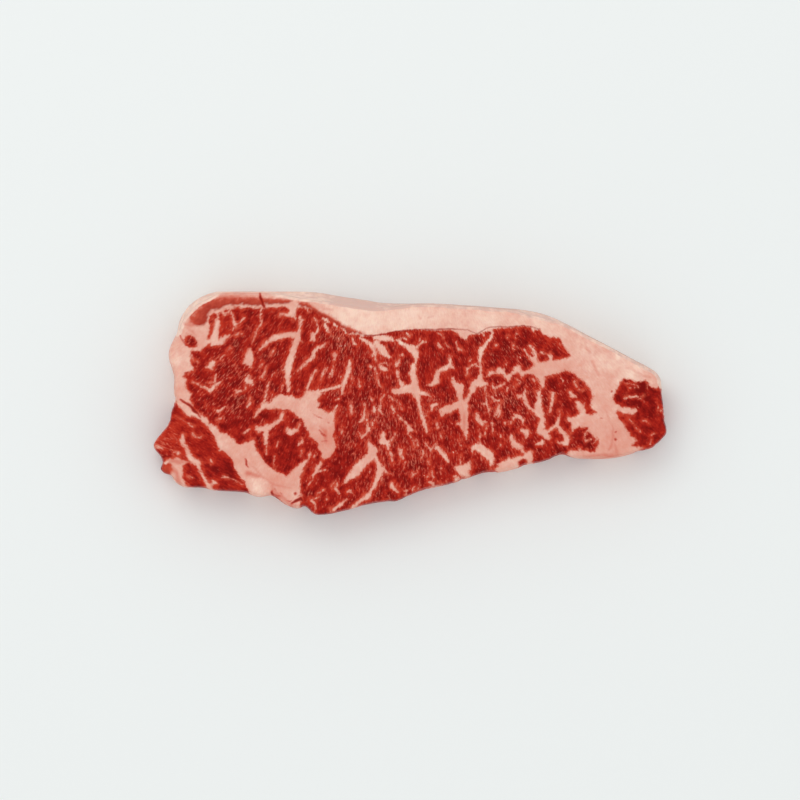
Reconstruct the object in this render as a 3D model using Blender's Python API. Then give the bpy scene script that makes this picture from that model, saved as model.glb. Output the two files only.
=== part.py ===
"""Raw sirloin steak: one thick slice of beef that lies on its lower cut face.

The row frame is +Z up, +X along the slice towards its narrow end, +Y towards the fat cap,
with the origin at the centre of the bounding box, on the surface that the steak rests on.
Plan sizes are written in millimetres and turned to metres when the mesh is made.
"""

import math

import bmesh
import bpy
from mathutils import Matrix, Vector, noise
from mathutils.geometry import delaunay_2d_cdt

MM = 0.001

# Driving dimensions, in millimetres.
THICKNESS = 24.0
OUTLINE_STEP = 2.4
TOP_CELL = 3.2
UNDERSIDE_CELL = 8.0
RIM_INSET = 1.0
# Free points keep this share of a cell away from the ring and the gashes.
CELL_CLEARANCE = 0.6

# The outline seen from above, clockwise, one list for each side of the slice.
CAP_SIDE = [
    (-103.9, 30.6), (-102.5, 37.2), (-97.0, 44.6), (-88.0, 48.9), (-72.0, 49.6), (-46.0, 49.2),
    (-25.0, 46.2), (-10.0, 44.0), (12.0, 43.8), (35.0, 42.2), (55.0, 40.3), (64.0, 37.5),
    (80.0, 29.3), (100.0, 18.7), (110.3, 12.9), (111.9, 10.3),
]
NARROW_END = [
    (112.0, 7.4), (113.3, -2.0), (113.7, -8.5), (115.0, -13.0), (112.2, -16.7), (107.3, -20.6),
    (103.0, -21.4),
]
LOWER_SIDE = [
    (93.5, -24.0), (84.0, -24.8), (71.5, -24.1), (67.5, -22.8), (63.0, -25.0), (55.8, -27.1),
    (53.5, -26.8), (49.5, -28.5), (40.0, -30.8), (33.0, -31.2), (27.3, -33.2), (24.5, -33.6),
    (16.5, -36.7), (11.0, -37.4), (0.0, -41.2), (-6.5, -44.2), (-9.3, -44.0), (-20.0, -45.6),
    (-29.0, -48.2), (-42.2, -50.0), (-47.0, -45.9),
]
FLAP_SIDE = [
    (-49.8, -47.1), (-55.5, -45.3), (-62.0, -40.9), (-67.0, -42.0), (-73.5, -40.1), (-85.0, -39.4),
    (-92.5, -38.0), (-101.0, -37.5), (-104.9, -35.1), (-106.5, -32.1), (-109.8, -31.9),
    (-111.8, -29.6), (-110.2, -27.1), (-112.2, -22.9), (-115.0, -19.6), (-112.0, -14.9),
    (-107.3, -8.8), (-106.6, -3.6), (-104.2, 1.6),
]
THICK_END = [(-105.2, 4.0), (-105.0, 11.5), (-107.7, 21.7), (-105.6, 27.6)]

# The wall from the flat underside up: height as a share of the thickness, and how far it stands in.
WALL = [
    (0.000, 1.90), (0.045, 0.60), (0.160, 0.10), (0.420, 0.00), (0.700, 0.05), (0.900, 0.30),
    (0.965, 0.60),
]
WIDEST_SHARE = 0.42
# The wall waves in and out below its widest ring, and between that and the rim.
WALL_WAVE = 1.5
WALL_WAVELENGTH = 17.0
WALL_WAVE_RISE = 11.0

# Where the skin of the fat cap slopes out below the cut face: middle and half length along X, and depth.
CAP_SLOPES = [(-95.0, 12.0, 1.9), (-33.0, 36.0, 3.0), (57.0, 11.0, 1.3)]
CAP_SLOPES_ABOVE = 20.0

# The lower edge of the fat cap, from the thick end to the narrow end.
CAP_SEAM = [
    (-88.0, 41.0), (-80.0, 42.6), (-66.0, 43.0), (-51.0, 43.4), (-43.0, 42.0), (-33.0, 37.6),
    (-20.0, 30.6), (-15.0, 29.9), (-3.0, 32.2), (20.0, 32.5), (30.0, 30.8), (37.0, 33.9),
    (52.0, 34.2), (60.0, 30.2), (67.0, 28.2), (71.0, 21.8),
]
CAP_RISE = 0.6

# Seams of fat between the muscles stand a little proud: a line, its half width and its rise.
FAT_SEAMS = [
    ([(-104.0, -1.0), (-92.0, -9.5), (-80.0, -20.0), (-62.0, -32.0), (-52.0, -38.0)], 3.4, 0.50),
    ([(-52.0, -33.0), (-46.0, -27.0), (-44.0, -22.0)], 1.6, 0.40),
    ([(-66.0, 0.0), (-54.0, 2.0), (-44.0, -4.0), (-38.0, -18.0)], 3.6, 0.50),
    ([(-51.0, 42.0), (-50.0, 32.0), (-54.0, 17.0), (-53.0, 4.0)], 1.8, 0.45),
    ([(-97.0, 22.0), (-87.0, 29.0), (-86.0, 38.0)], 3.0, 0.45),
    ([(2.0, 25.0), (2.0, 8.0), (7.0, -12.0)], 1.6, 0.40),
    ([(56.0, 16.0), (72.0, 19.0), (84.0, 8.0), (86.0, -8.0), (76.0, -8.0)], 4.6, 0.50),
    ([(90.0, -4.0), (93.0, -17.0)], 4.0, 0.45),
    ([(101.0, -3.2), (93.0, -2.6)], 1.2, 0.35),
]
# A face is painted as fat where its seam rises at least this far.
PAINTED_RISE = 0.2

# Splits and knife marks that open in the face: a line, its half width and its depth.
GASHES = [
    ([(-102.3, 1.2), (-98.8, -0.9), (-95.8, -4.0), (-93.4, -6.4)], 0.7, 2.6),
    ([(-66.6, 47.6), (-66.1, 45.2), (-65.3, 42.9)], 0.6, 2.2),
    ([(-73.6, -25.3), (-73.0, -27.6), (-72.0, -29.0)], 0.6, 1.2),
    ([(-83.2, -22.4), (-80.4, -24.8), (-79.2, -27.0)], 0.6, 0.9),
    ([(-52.2, -44.0), (-50.6, -43.6), (-49.4, -43.4)], 0.7, 1.6),
]

# Broad rises and falls of the cut face: centre, half lengths along X and Y, and height.
SWELLS = [
    ((-66.5, -38.0), (6.0, 4.5), 1.0),
    ((-96.0, -22.0), (20.0, 20.0), -1.6),
    ((108.0, -8.0), (22.0, 30.0), -2.2),
    ((-57.0, -18.0), (15.0, 13.0), 0.6),
    ((10.0, 0.0), (70.0, 26.0), 0.7),
    ((-108.0, -29.5), (4.0, 4.0), -2.6),
]
# Waves of the cut face: wavelength and height. The plane picks one slice of the noise.
RIPPLES = [(31.0, 0.50), (12.0, 0.25), (5.5, 0.12)]
RIPPLE_PLANE = 4.7

LEAN_COLOUR = (0.376, 0.025, 0.016, 1.0)
LEAN_ROUGHNESS = 0.38
FAT_COLOUR = (0.807, 0.462, 0.342, 1.0)
FAT_ROUGHNESS = 0.45
SHARP_EDGE = math.radians(50.0)


def clear_scene():
    for obj in list(bpy.data.objects):
        bpy.data.objects.remove(obj)


def smoothstep(low, high, value):
    share = min(1.0, max(0.0, (value - low) / (high - low)))
    return share * share * (3.0 - 2.0 * share)


def curve_through(points, step, closed):
    """Points about one step apart on a centripetal Catmull-Rom curve that keeps every given point."""
    knots = [Vector(point) for point in points]
    if closed:
        knots = [knots[-1], *knots, knots[0], knots[1]]
    else:
        knots = [2.0 * knots[0] - knots[1], *knots, 2.0 * knots[-1] - knots[-2]]
    walked = []
    for span in zip(knots, knots[1:], knots[2:], knots[3:]):
        count = max(1, round((span[2] - span[1]).length / step))
        walked += [point_on_span(*span, i / count) for i in range(count)]
    if not closed:
        walked.append(knots[-2])
    return walked


def point_on_span(a, b, c, d, share):
    """The point at this share of the way from b to c, whose neighbours are a and d."""
    at_b = math.sqrt((b - a).length)
    at_c = at_b + math.sqrt((c - b).length)
    at_d = at_c + math.sqrt((d - c).length)
    t = at_b + (at_c - at_b) * share
    ab = a.lerp(b, t / at_b)
    bc = b.lerp(c, share)
    cd = c.lerp(d, (t - at_c) / (at_d - at_c))
    abc = ab.lerp(bc, t / at_c)
    bcd = bc.lerp(cd, (t - at_b) / (at_d - at_b))
    return abc.lerp(bcd, share)


def inward_normals(ring):
    """The direction into the meat at each point of a clockwise ring, evened over its neighbours."""
    count = len(ring)
    raw = []
    for i in range(count):
        along = ring[(i + 1) % count] - ring[i - 1]
        raw.append(Vector((along.y, -along.x)).normalized())
    return [(raw[i - 1] + 2.0 * raw[i] + raw[(i + 1) % count]).normalized() for i in range(count)]


def distance_to_line(point, line):
    """The shortest distance from a point to a line of several legs."""
    best = math.inf
    for start, end in zip(line, line[1:]):
        leg = Vector(end) - Vector(start)
        reach = point - Vector(start)
        share = min(1.0, max(0.0, reach.dot(leg) / leg.length_squared))
        best = min(best, (reach - leg * share).length)
    return best


def cap_seam_height(x):
    """The Y of the fat cap's lower edge at this X."""
    for (x0, y0), (x1, y1) in zip(CAP_SEAM, CAP_SEAM[1:]):
        if x <= x1:
            return y0 + (y1 - y0) * max(0.0, (x - x0) / (x1 - x0))
    return CAP_SEAM[-1][1]


def cap_slope(point):
    """How far the cut rim stands in from the skin of the fat cap, beyond the usual rounding."""
    if point.y < CAP_SLOPES_ABOVE:
        return 0.0
    deepest = 0.0
    for middle, half_length, depth in CAP_SLOPES:
        reach = abs(point.x - middle) / half_length
        deepest = max(deepest, depth * (1.0 - smoothstep(0.35, 1.0, reach)))
    return deepest


def wall_wave(point, share):
    """How far the wall stands in at this height because its surface waves."""
    if share < WIDEST_SHARE:
        strength = 1.0 - share / WIDEST_SHARE
    else:
        strength = math.sin(math.pi * (share - WIDEST_SHARE) / (1.0 - WIDEST_SHARE))
    height = share * THICKNESS / WALL_WAVE_RISE
    wave = noise.noise(Vector((point.x / WALL_WAVELENGTH, point.y / WALL_WAVELENGTH, height)))
    return WALL_WAVE * (0.5 + 0.5 * wave) * strength


def seam_rise(point):
    """How far the fat between the muscles lifts the face here."""
    rise = 0.0
    for line, half_width, height in FAT_SEAMS:
        reach = distance_to_line(point, line) / half_width
        rise = max(rise, height * (1.0 - smoothstep(0.6, 1.5, reach)))
    return rise


def face_height(point):
    """The height of the upper cut face in millimetres."""
    height = THICKNESS + seam_rise(point)
    height += CAP_RISE * smoothstep(-0.6, 1.2, point.y - cap_seam_height(point.x))
    for wavelength, amount in RIPPLES:
        place = Vector((point.x / wavelength, point.y / wavelength, RIPPLE_PLANE))
        height += amount * noise.noise(place)
    for (centre_x, centre_y), (half_x, half_y), amount in SWELLS:
        reach = math.hypot((point.x - centre_x) / half_x, (point.y - centre_y) / half_y)
        height += amount * (1.0 - smoothstep(0.0, 1.0, reach))
    return height


def gash_creases():
    """The floor and the two flanks of every gash, each as points with their drop below the face."""
    creases = []
    for line, half_width, depth in GASHES:
        floor = curve_through(line, OUTLINE_STEP, closed=False)
        ends = (floor[0], floor[-1])
        middle = floor[1:-1]
        creases.append([(ends[0], 0.0), *((point, depth) for point in middle), (ends[1], 0.0)])
        for side in (-half_width, half_width):
            flank = []
            for before, point, after in zip(floor, middle, floor[2:]):
                along = (after - before).normalized()
                flank.append((point + side * Vector((-along.y, along.x)), 0.0))
            creases.append([(ends[0], 0.0), *flank, (ends[1], 0.0)])
    return creases


def inside(point, ring):
    within = False
    for a, b in zip(ring, ring[1:] + ring[:1]):
        if (a.y > point.y) != (b.y > point.y):
            if point.x < a.x + (b.x - a.x) * (point.y - a.y) / (b.y - a.y):
                within = not within
    return within


def lattice(ring, cell, taken):
    """Points of a triangular lattice inside a ring, clear of the points that are taken already."""
    low = Vector((min(p.x for p in ring), min(p.y for p in ring)))
    high = Vector((max(p.x for p in ring), max(p.y for p in ring)))
    row_height = cell * math.sqrt(3.0) / 2.0
    clearance = CELL_CLEARANCE * cell
    found = []
    for row in range(int((high.y - low.y) / row_height) + 1):
        for column in range(int((high.x - low.x) / cell) + 1):
            place = low + Vector(((column + 0.5 * (row % 2)) * cell, (row + 0.5) * row_height))
            if inside(place, ring) and all((place - other).length > clearance for other in taken):
                found.append(place)
    return found


def fill_ring(bm, ring_vertices, cell, creases, height_at):
    """Closes a ring of the mesh with even triangles that keep the creases as edges."""
    ring = [vertex.co.xy / MM for vertex in ring_vertices]
    places = list(ring)
    drops = [0.0] * len(ring)
    edges = [(i, (i + 1) % len(ring)) for i in range(len(ring))]
    for crease in creases:
        first = len(places)
        places += [point for point, drop in crease]
        drops += [drop for point, drop in crease]
        edges += [(i, i + 1) for i in range(first, len(places) - 1)]
    free = lattice(ring, cell, places)
    places += free
    drops += [0.0] * len(free)
    points, _, triangles, sources, _, _ = delaunay_2d_cdt(places, edges, [], 1, 1e-4)
    corners = []
    for point, source in zip(points, sources):
        if source[0] < len(ring):
            corners.append(ring_vertices[source[0]])
            continue
        height = height_at(point) - max(drops[i] for i in source)
        corners.append(bm.verts.new((point.x * MM, point.y * MM, height * MM)))
    for triangle in triangles:
        bm.faces.new([corners[i] for i in triangle])


def wall_rings(bm, outline):
    """The rings of the wall from the underside to the rim of the cut face, joined by quads."""
    inward = inward_normals(outline)
    rings = []
    for share, inset in [*WALL, (1.0, RIM_INSET)]:
        slope_share = smoothstep(0.35, 1.0, share)
        ring = []
        for point, normal in zip(outline, inward):
            depth = inset + wall_wave(point, share) + cap_slope(point) * slope_share
            place = point + normal * depth
            height = share * face_height(place)
            ring.append(bm.verts.new((place.x * MM, place.y * MM, height * MM)))
        rings.append(ring)
    for lower, upper in zip(rings, rings[1:]):
        for i in range(len(outline)):
            bm.faces.new((lower[i - 1], lower[i], upper[i], upper[i - 1]))
    return rings


def steak_mesh():
    """The whole slice: a wall round the outline, closed by the flat underside and the cut face."""
    sides = CAP_SIDE + NARROW_END + LOWER_SIDE + FLAP_SIDE + THICK_END
    bm = bmesh.new()
    rings = wall_rings(bm, curve_through(sides, OUTLINE_STEP, closed=True))
    fill_ring(bm, rings[-1], TOP_CELL, gash_creases(), face_height)
    fill_ring(bm, rings[0], UNDERSIDE_CELL, [], lambda point: 0.0)
    bmesh.ops.triangulate(bm, faces=bm.faces[:])
    bmesh.ops.recalc_face_normals(bm, faces=bm.faces[:])
    mesh = bpy.data.meshes.new("steak")
    bm.to_mesh(mesh)
    bm.free()
    return mesh


def meat_material(name, colour, roughness):
    material = bpy.data.materials.new(name)
    material.use_nodes = True
    shader = material.node_tree.nodes["Principled BSDF"]
    shader.inputs["Base Color"].default_value = colour
    shader.inputs["Roughness"].default_value = roughness
    shader.inputs["Metallic"].default_value = 0.0
    return material


def paint(mesh):
    """Lean by default, fat on the cap and along the seams between the muscles."""
    mesh.materials.append(meat_material("raw_lean", LEAN_COLOUR, LEAN_ROUGHNESS))
    mesh.materials.append(meat_material("raw_fat", FAT_COLOUR, FAT_ROUGHNESS))
    for face in mesh.polygons:
        centre = face.center.xy / MM
        on_cap = centre.y > cap_seam_height(centre.x)
        face.material_index = int(on_cap or seam_rise(centre) > PAINTED_RISE)


def centre_on_box(mesh):
    """Moves the mesh so that the origin lies under the middle of its bounding box."""
    xs = [vertex.co.x for vertex in mesh.vertices]
    ys = [vertex.co.y for vertex in mesh.vertices]
    middle = Vector(((min(xs) + max(xs)) / 2.0, (min(ys) + max(ys)) / 2.0, 0.0))
    mesh.transform(Matrix.Translation(-middle))


def main():
    clear_scene()
    mesh = steak_mesh()
    paint(mesh)
    centre_on_box(mesh)
    mesh.shade_smooth()
    mesh.set_sharp_from_angle(angle=SHARP_EDGE)
    steak = bpy.data.objects.new("steak", mesh)
    bpy.context.scene.collection.objects.link(steak)


main()
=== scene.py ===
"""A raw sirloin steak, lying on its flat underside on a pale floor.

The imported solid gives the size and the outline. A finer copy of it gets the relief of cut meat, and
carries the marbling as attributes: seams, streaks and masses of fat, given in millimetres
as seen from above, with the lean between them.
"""

import functools

import bmesh
import bpy
import numpy as np
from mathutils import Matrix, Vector, noise


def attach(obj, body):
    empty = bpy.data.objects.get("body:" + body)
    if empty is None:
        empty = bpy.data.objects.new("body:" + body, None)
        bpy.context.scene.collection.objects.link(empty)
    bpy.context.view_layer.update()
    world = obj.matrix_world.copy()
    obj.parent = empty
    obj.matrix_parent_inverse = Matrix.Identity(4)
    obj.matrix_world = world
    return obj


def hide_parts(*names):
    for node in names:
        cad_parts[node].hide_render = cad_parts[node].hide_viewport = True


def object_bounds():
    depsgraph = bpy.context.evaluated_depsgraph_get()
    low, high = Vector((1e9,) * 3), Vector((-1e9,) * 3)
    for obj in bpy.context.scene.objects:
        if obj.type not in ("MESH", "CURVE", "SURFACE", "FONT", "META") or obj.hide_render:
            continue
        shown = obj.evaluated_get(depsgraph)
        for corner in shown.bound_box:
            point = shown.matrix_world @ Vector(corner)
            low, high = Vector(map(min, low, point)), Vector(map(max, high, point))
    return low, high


bl_info = {
    "name": "Raw Sirloin Steak",
    "version": (1, 0, 0),
    "blender": (4, 5, 0),
    "location": "3D View > Sidebar > Steak",
    "description": "Dresses the packed solid of a raw sirloin steak in marbled meat, fat and skin",
    "category": "Add Mesh",
}

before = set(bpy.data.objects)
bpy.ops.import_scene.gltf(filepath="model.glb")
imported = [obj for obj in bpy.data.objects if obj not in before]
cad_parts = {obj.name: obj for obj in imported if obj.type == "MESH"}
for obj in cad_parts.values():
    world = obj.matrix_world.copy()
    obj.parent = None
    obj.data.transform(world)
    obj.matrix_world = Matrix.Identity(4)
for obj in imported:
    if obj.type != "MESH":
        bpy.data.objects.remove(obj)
CAD_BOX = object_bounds()
NODE = "steak"
MM = 0.001

# Outlines of the three muscles. What lies outside them is fat.
MUSCLES = {
    "main": [
        (-96.5, -3), (-97.3, -1), (-98, 1.5), (-97.6, 4), (-99.5, 6), (-100.2, 8.5), (-99.4, 10.3),
        (-101.3, 11.8), (-100.4, 13), (-96.7, 14), (-96.6, 15.7), (-98.2, 17.3), (-97.8, 20),
        (-97.4, 23.3), (-95.5, 22.8), (-93.5, 22.8), (-91.3, 25), (-89.3, 26.6), (-88.8, 25.2),
        (-85.5, 25.3), (-83.3, 26), (-81, 28.7), (-79.7, 30.6), (-82.8, 30.2), (-85.2, 28), (-85, 32.5),
        (-84.6, 36), (-85.5, 39.3), (-84, 40), (-82, 41.3), (-79, 41.9), (-77, 42.6), (-74, 42.3),
        (-70, 42.3), (-66.5, 42.2), (-63, 42.2), (-60, 42.3), (-57, 42.8), (-54, 42), (-50.5, 42.2),
        (-49, 42), (-45.5, 41.8), (-42.5, 41), (-38, 38.6), (-33, 36), (-28, 32.6), (-24, 30.6),
        (-21, 29.5), (-17.5, 29.6), (-13, 30), (-8.5, 31), (-5, 31.8), (2, 32.2), (12, 32), (19, 31.9),
        (21, 30.6), (23.3, 28.6), (25.2, 27.8), (26, 29.8), (28.5, 30.2), (30, 30.2), (31.5, 30.4),
        (33, 31.3), (35.5, 31.7), (36.4, 31), (37.2, 32.8), (40, 33), (45, 33.2), (48, 33.6), (50.5, 34),
        (53, 33.4), (54.5, 32.2), (55.2, 31), (55.8, 32.3), (58, 32.2), (59.5, 30.2), (61, 29.7),
        (62.5, 28.8), (64, 29.2), (67, 28.4), (68, 25.8), (70, 23), (71.3, 21.6), (70.6, 18), (71.5, 13.8),
        (73.5, 12.4), (75.2, 10.4), (77, 9.8), (78.8, 7.8), (80.5, 4.8), (81.4, 3), (80.5, 1), (80.3, -2),
        (81.5, -3.5), (83, -4.5), (81.5, -5.1), (79, -5), (78.2, -3), (78, -0.2), (77.2, -1.2), (76, 0),
        (74.6, 1.2), (73.9, 0.2), (74.2, -1.5), (75.4, -3.4), (75.6, -5), (74.2, -5.8), (72, -6.2),
        (70.6, -5.8), (69.8, -6.6), (70.2, -8.3), (71.3, -8.6), (71.8, -10.5), (72.1, -13.4),
        (73.2, -12.3), (74.7, -11.2), (77, -11), (79.5, -11.2), (79.2, -12.6), (80, -13.4), (81, -14.3),
        (82.5, -15.8), (83.8, -16.5), (84.3, -18), (83.6, -19.5), (83, -21), (82, -22), (80, -21.8),
        (78.5, -21.3), (76.5, -21.5), (75.8, -20.5), (75, -19.8), (75, -21.2), (72, -21.5), (70.5, -22),
        (69, -26), (55, -30), (40, -34), (20, -39), (0, -45), (-20, -49), (-43, -54), (-50, -48),
        (-48.2, -44), (-48.3, -41), (-48.8, -37), (-48.6, -32.5), (-47.5, -30), (-46, -27.5),
        (-44.2, -24.5), (-44, -21.8), (-45.6, -23.2), (-45.8, -25), (-47.5, -26.2), (-50, -27.7),
        (-52, -29.5), (-53.8, -31.4), (-55.5, -32.9), (-57.5, -31.3), (-60, -30.5), (-62.5, -28.6),
        (-65, -26.5), (-66.8, -23.5), (-68.5, -21.3), (-69, -18), (-69.8, -16.3), (-71, -17),
        (-73.5, -17.5), (-75.8, -18.7), (-77.2, -18.3), (-78, -16.6), (-79.8, -15.8), (-81.5, -13.9),
        (-84.8, -13), (-86.5, -10.5), (-89.5, -9.3), (-90.4, -6.8), (-93, -5.4),
    ],
    "flap": [
        (-104.8, 0.8), (-104, -1), (-102, -3.3), (-99.5, -5.8), (-96, -6.6), (-93.3, -8), (-90.3, -10.8),
        (-87.8, -14.5), (-86.5, -17.5), (-85.4, -20.5), (-85.6, -21.8), (-83.8, -21.7), (-81.8, -23),
        (-80, -25), (-79, -27), (-78.3, -29.5), (-76.5, -32.5), (-74, -35.5), (-72.5, -38.5),
        (-71.8, -40.5), (-74, -44), (-104, -42), (-116, -34), (-120, -20), (-110, -4), (-107, 2),
    ],
    "end": [
        (95.2, 10.4), (97.5, 10.3), (99.5, 9.5), (101.2, 8.6), (103, 9.2), (104.8, 9.7), (106, 8.9),
        (107.3, 7.1), (109, 6.2), (110.4, 5.8), (111, 7), (111.5, 7.8), (112.6, 6.5), (118, 4), (119, -13),
        (112, -23), (105.5, -24), (104.8, -20.3), (101.5, -19.8), (99, -19.2), (100.5, -18.2),
        (101.4, -17.2), (100, -15.8), (98.6, -15), (98, -13.5), (96.8, -11.5), (95.8, -9.5), (94.2, -7.8),
        (93.2, -7.3), (92.6, -5.5), (91.9, -4.6), (92.4, -3.7), (93.8, -4.2), (95, -5.2), (96.7, -4.9),
        (99, -5.3), (100.2, -5.2), (101.8, -3.6), (101.2, -2.6), (99.5, -2.7), (97, -2.3), (94.5, -1.6),
        (92.2, -0.3), (91.1, 1.2), (90.7, 2.8), (92, 4.5), (93.2, 7), (94, 9.2),
    ],
}

# Masses of fat inside the muscles, as outlines.
MASSES = [
    # The great mass left of the middle.
    [
        (-69.6, -7), (-69.2, -4.6), (-67.2, -2.2), (-66, 0.2), (-62.5, 0.3), (-60, 3), (-58, 4),
        (-55, 3.2), (-53, 3.5), (-50.5, 2.1), (-49, 1.8), (-47, 4.5), (-45.5, 6.2), (-43.5, 5), (-41, 6.2),
        (-40, 4.6), (-38, 4.3), (-40.2, 2.7), (-41.2, 1.2), (-40.2, -0.3), (-41, -2), (-39, -2.8),
        (-36.8, -4.8), (-34.8, -3.8), (-33.3, -1.8), (-31.8, -0.8), (-33.2, -4), (-33.5, -8), (-33.5, -12),
        (-34.4, -15), (-33.3, -17.5), (-33.2, -20), (-34.2, -22.8), (-36.2, -24.9), (-38, -25.5),
        (-39.2, -25.3), (-39.7, -22), (-40.9, -20.4), (-41, -17.8), (-43, -16.8), (-44.6, -15.5),
        (-45.4, -13), (-47, -11), (-48, -8), (-49.5, -7), (-51.5, -5.5), (-53, -4), (-54.8, -3.3),
        (-57, -3.3), (-60, -2.9), (-62.5, -3.5), (-65, -3), (-66.8, -4.6), (-68.6, -6.5),
    ],
    # The wedge under the cap's left end.
    [
        (-56.8, 43.2), (-54.5, 42.9), (-51.5, 45.2), (-50.4, 44.6), (-50.2, 41.5), (-50.8, 38),
        (-50.3, 36.3), (-52, 37.7), (-55, 38.2), (-57, 39.3), (-57.5, 40.2), (-55, 39.6), (-54, 41.5),
        (-56.3, 42.4),
    ],
    # The channel under the upper right lobe.
    [
        (33.8, 11.5), (35, 14), (36.5, 14.8), (37.8, 13.4), (38.6, 15.2), (39.5, 16), (42, 15.2),
        (42.3, 13.4), (43, 12.5), (44.8, 13.1), (45.8, 14.5), (46.8, 16.2), (48, 17), (49.5, 16.3),
        (50, 13.9), (52, 14.4), (54, 15.6), (55.5, 16.5), (54.5, 18.2), (53.2, 19.6), (54.4, 20.6),
        (55.2, 20.8), (54.4, 25.2), (55.4, 24.8), (57.1, 21.3), (57.3, 18), (61, 18.6), (62.3, 19.6),
        (61.2, 21.8), (62.2, 22.3), (63.6, 20.6), (64.2, 19.1), (66.5, 19.3), (70, 20.3), (75, 21.8),
        (75, 14.2), (71.5, 13.7), (69.5, 14.2), (67, 13), (63.5, 12), (61.5, 11.8), (60.3, 11.5),
        (60.2, 8.3), (60, 6.5), (59, 6.3), (58.3, 7.5), (57.3, 9.5), (56, 11.3), (54, 12.3), (52, 12.5),
        (50.8, 11.6), (50, 10.7), (49.6, 11.3), (48.5, 13), (46.5, 12.9), (45.3, 11.5), (44.8, 9.8),
        (43.5, 9.5), (42.2, 10.5), (41.5, 12), (40, 12.7), (37, 12.7), (35, 11.8),
    ],
    # The strip along the lower edge.
    [
        (36.6, -29), (37.4, -26.8), (39.2, -27.3), (41.5, -25.8), (43.8, -24.5), (45.2, -25), (47, -24),
        (49.7, -23.7), (51, -22.9), (52, -21.6), (53.3, -21.2), (54.9, -21.8), (55.3, -24), (54.4, -26.3),
        (54, -30), (45, -33), (38, -34), (35, -33),
    ],
    # The lump on the lower edge, right of the middle.
    [
        (19.2, -28.9), (21, -28.1), (22.2, -27.6), (22.4, -23.8), (23.2, -27.3), (25.5, -27.2),
        (27, -25.8), (27.3, -29.5), (26.4, -31.5), (27.5, -33), (24, -33), (22, -32.6), (20.5, -31.2),
    ],
    # Two slabs left of the middle of the thick end.
    [
        (-71.4, 24.6), (-70.1, 22.3), (-69.8, 19.5), (-70.4, 16.5), (-71.4, 14.9), (-72.2, 16.5),
        (-74.7, 16.9), (-74.2, 19.5), (-73, 22.5), (-72.2, 24.3),
    ],
    [(-88.3, 19.2), (-86.6, 18.2), (-87.6, 15.8), (-88.5, 14.4), (-91.5, 15.3), (-90, 17.5)],
    # The salmon fat at the flap's corner.
    [
        (-110.3, -27), (-109, -25.8), (-106.5, -25), (-104, -24.5), (-102.5, -25.3), (-100, -26),
        (-98, -26.5), (-99.8, -27.2), (-101.2, -28.3), (-101.3, -31), (-101.5, -34), (-100, -36),
        (-98.5, -37), (-101, -40), (-106.5, -36), (-107, -31.5), (-106.3, -30), (-106.7, -27.5),
        (-108, -27), (-109.5, -28),
    ],
]

# Lean that lies inside fat, as outlines.
ISLANDS = [
    [
        (-89.6, 36), (-88.8, 38.6), (-87.2, 39.8), (-86.3, 39), (-87.3, 35), (-88.2, 31.5), (-89.8, 28.3),
        (-90.4, 28.6), (-89.3, 32), (-89, 34.5),
    ],
    [
        (-100.8, 27.3), (-100.3, 29.2), (-98.7, 30), (-96.6, 29.5), (-95.2, 28), (-94.9, 26.2), (-96, 25),
        (-98.3, 24.9), (-100, 25.8),
    ],
    [(48.2, -26.4), (50.3, -25), (51.8, -25.6), (52.2, -26.8), (51, -28.4), (49, -28.6)],
    [(35.2, -31.6), (36.3, -29), (38.1, -27.7), (39, -28.3), (38.2, -29.8), (36.5, -31.8)],
]

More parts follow.
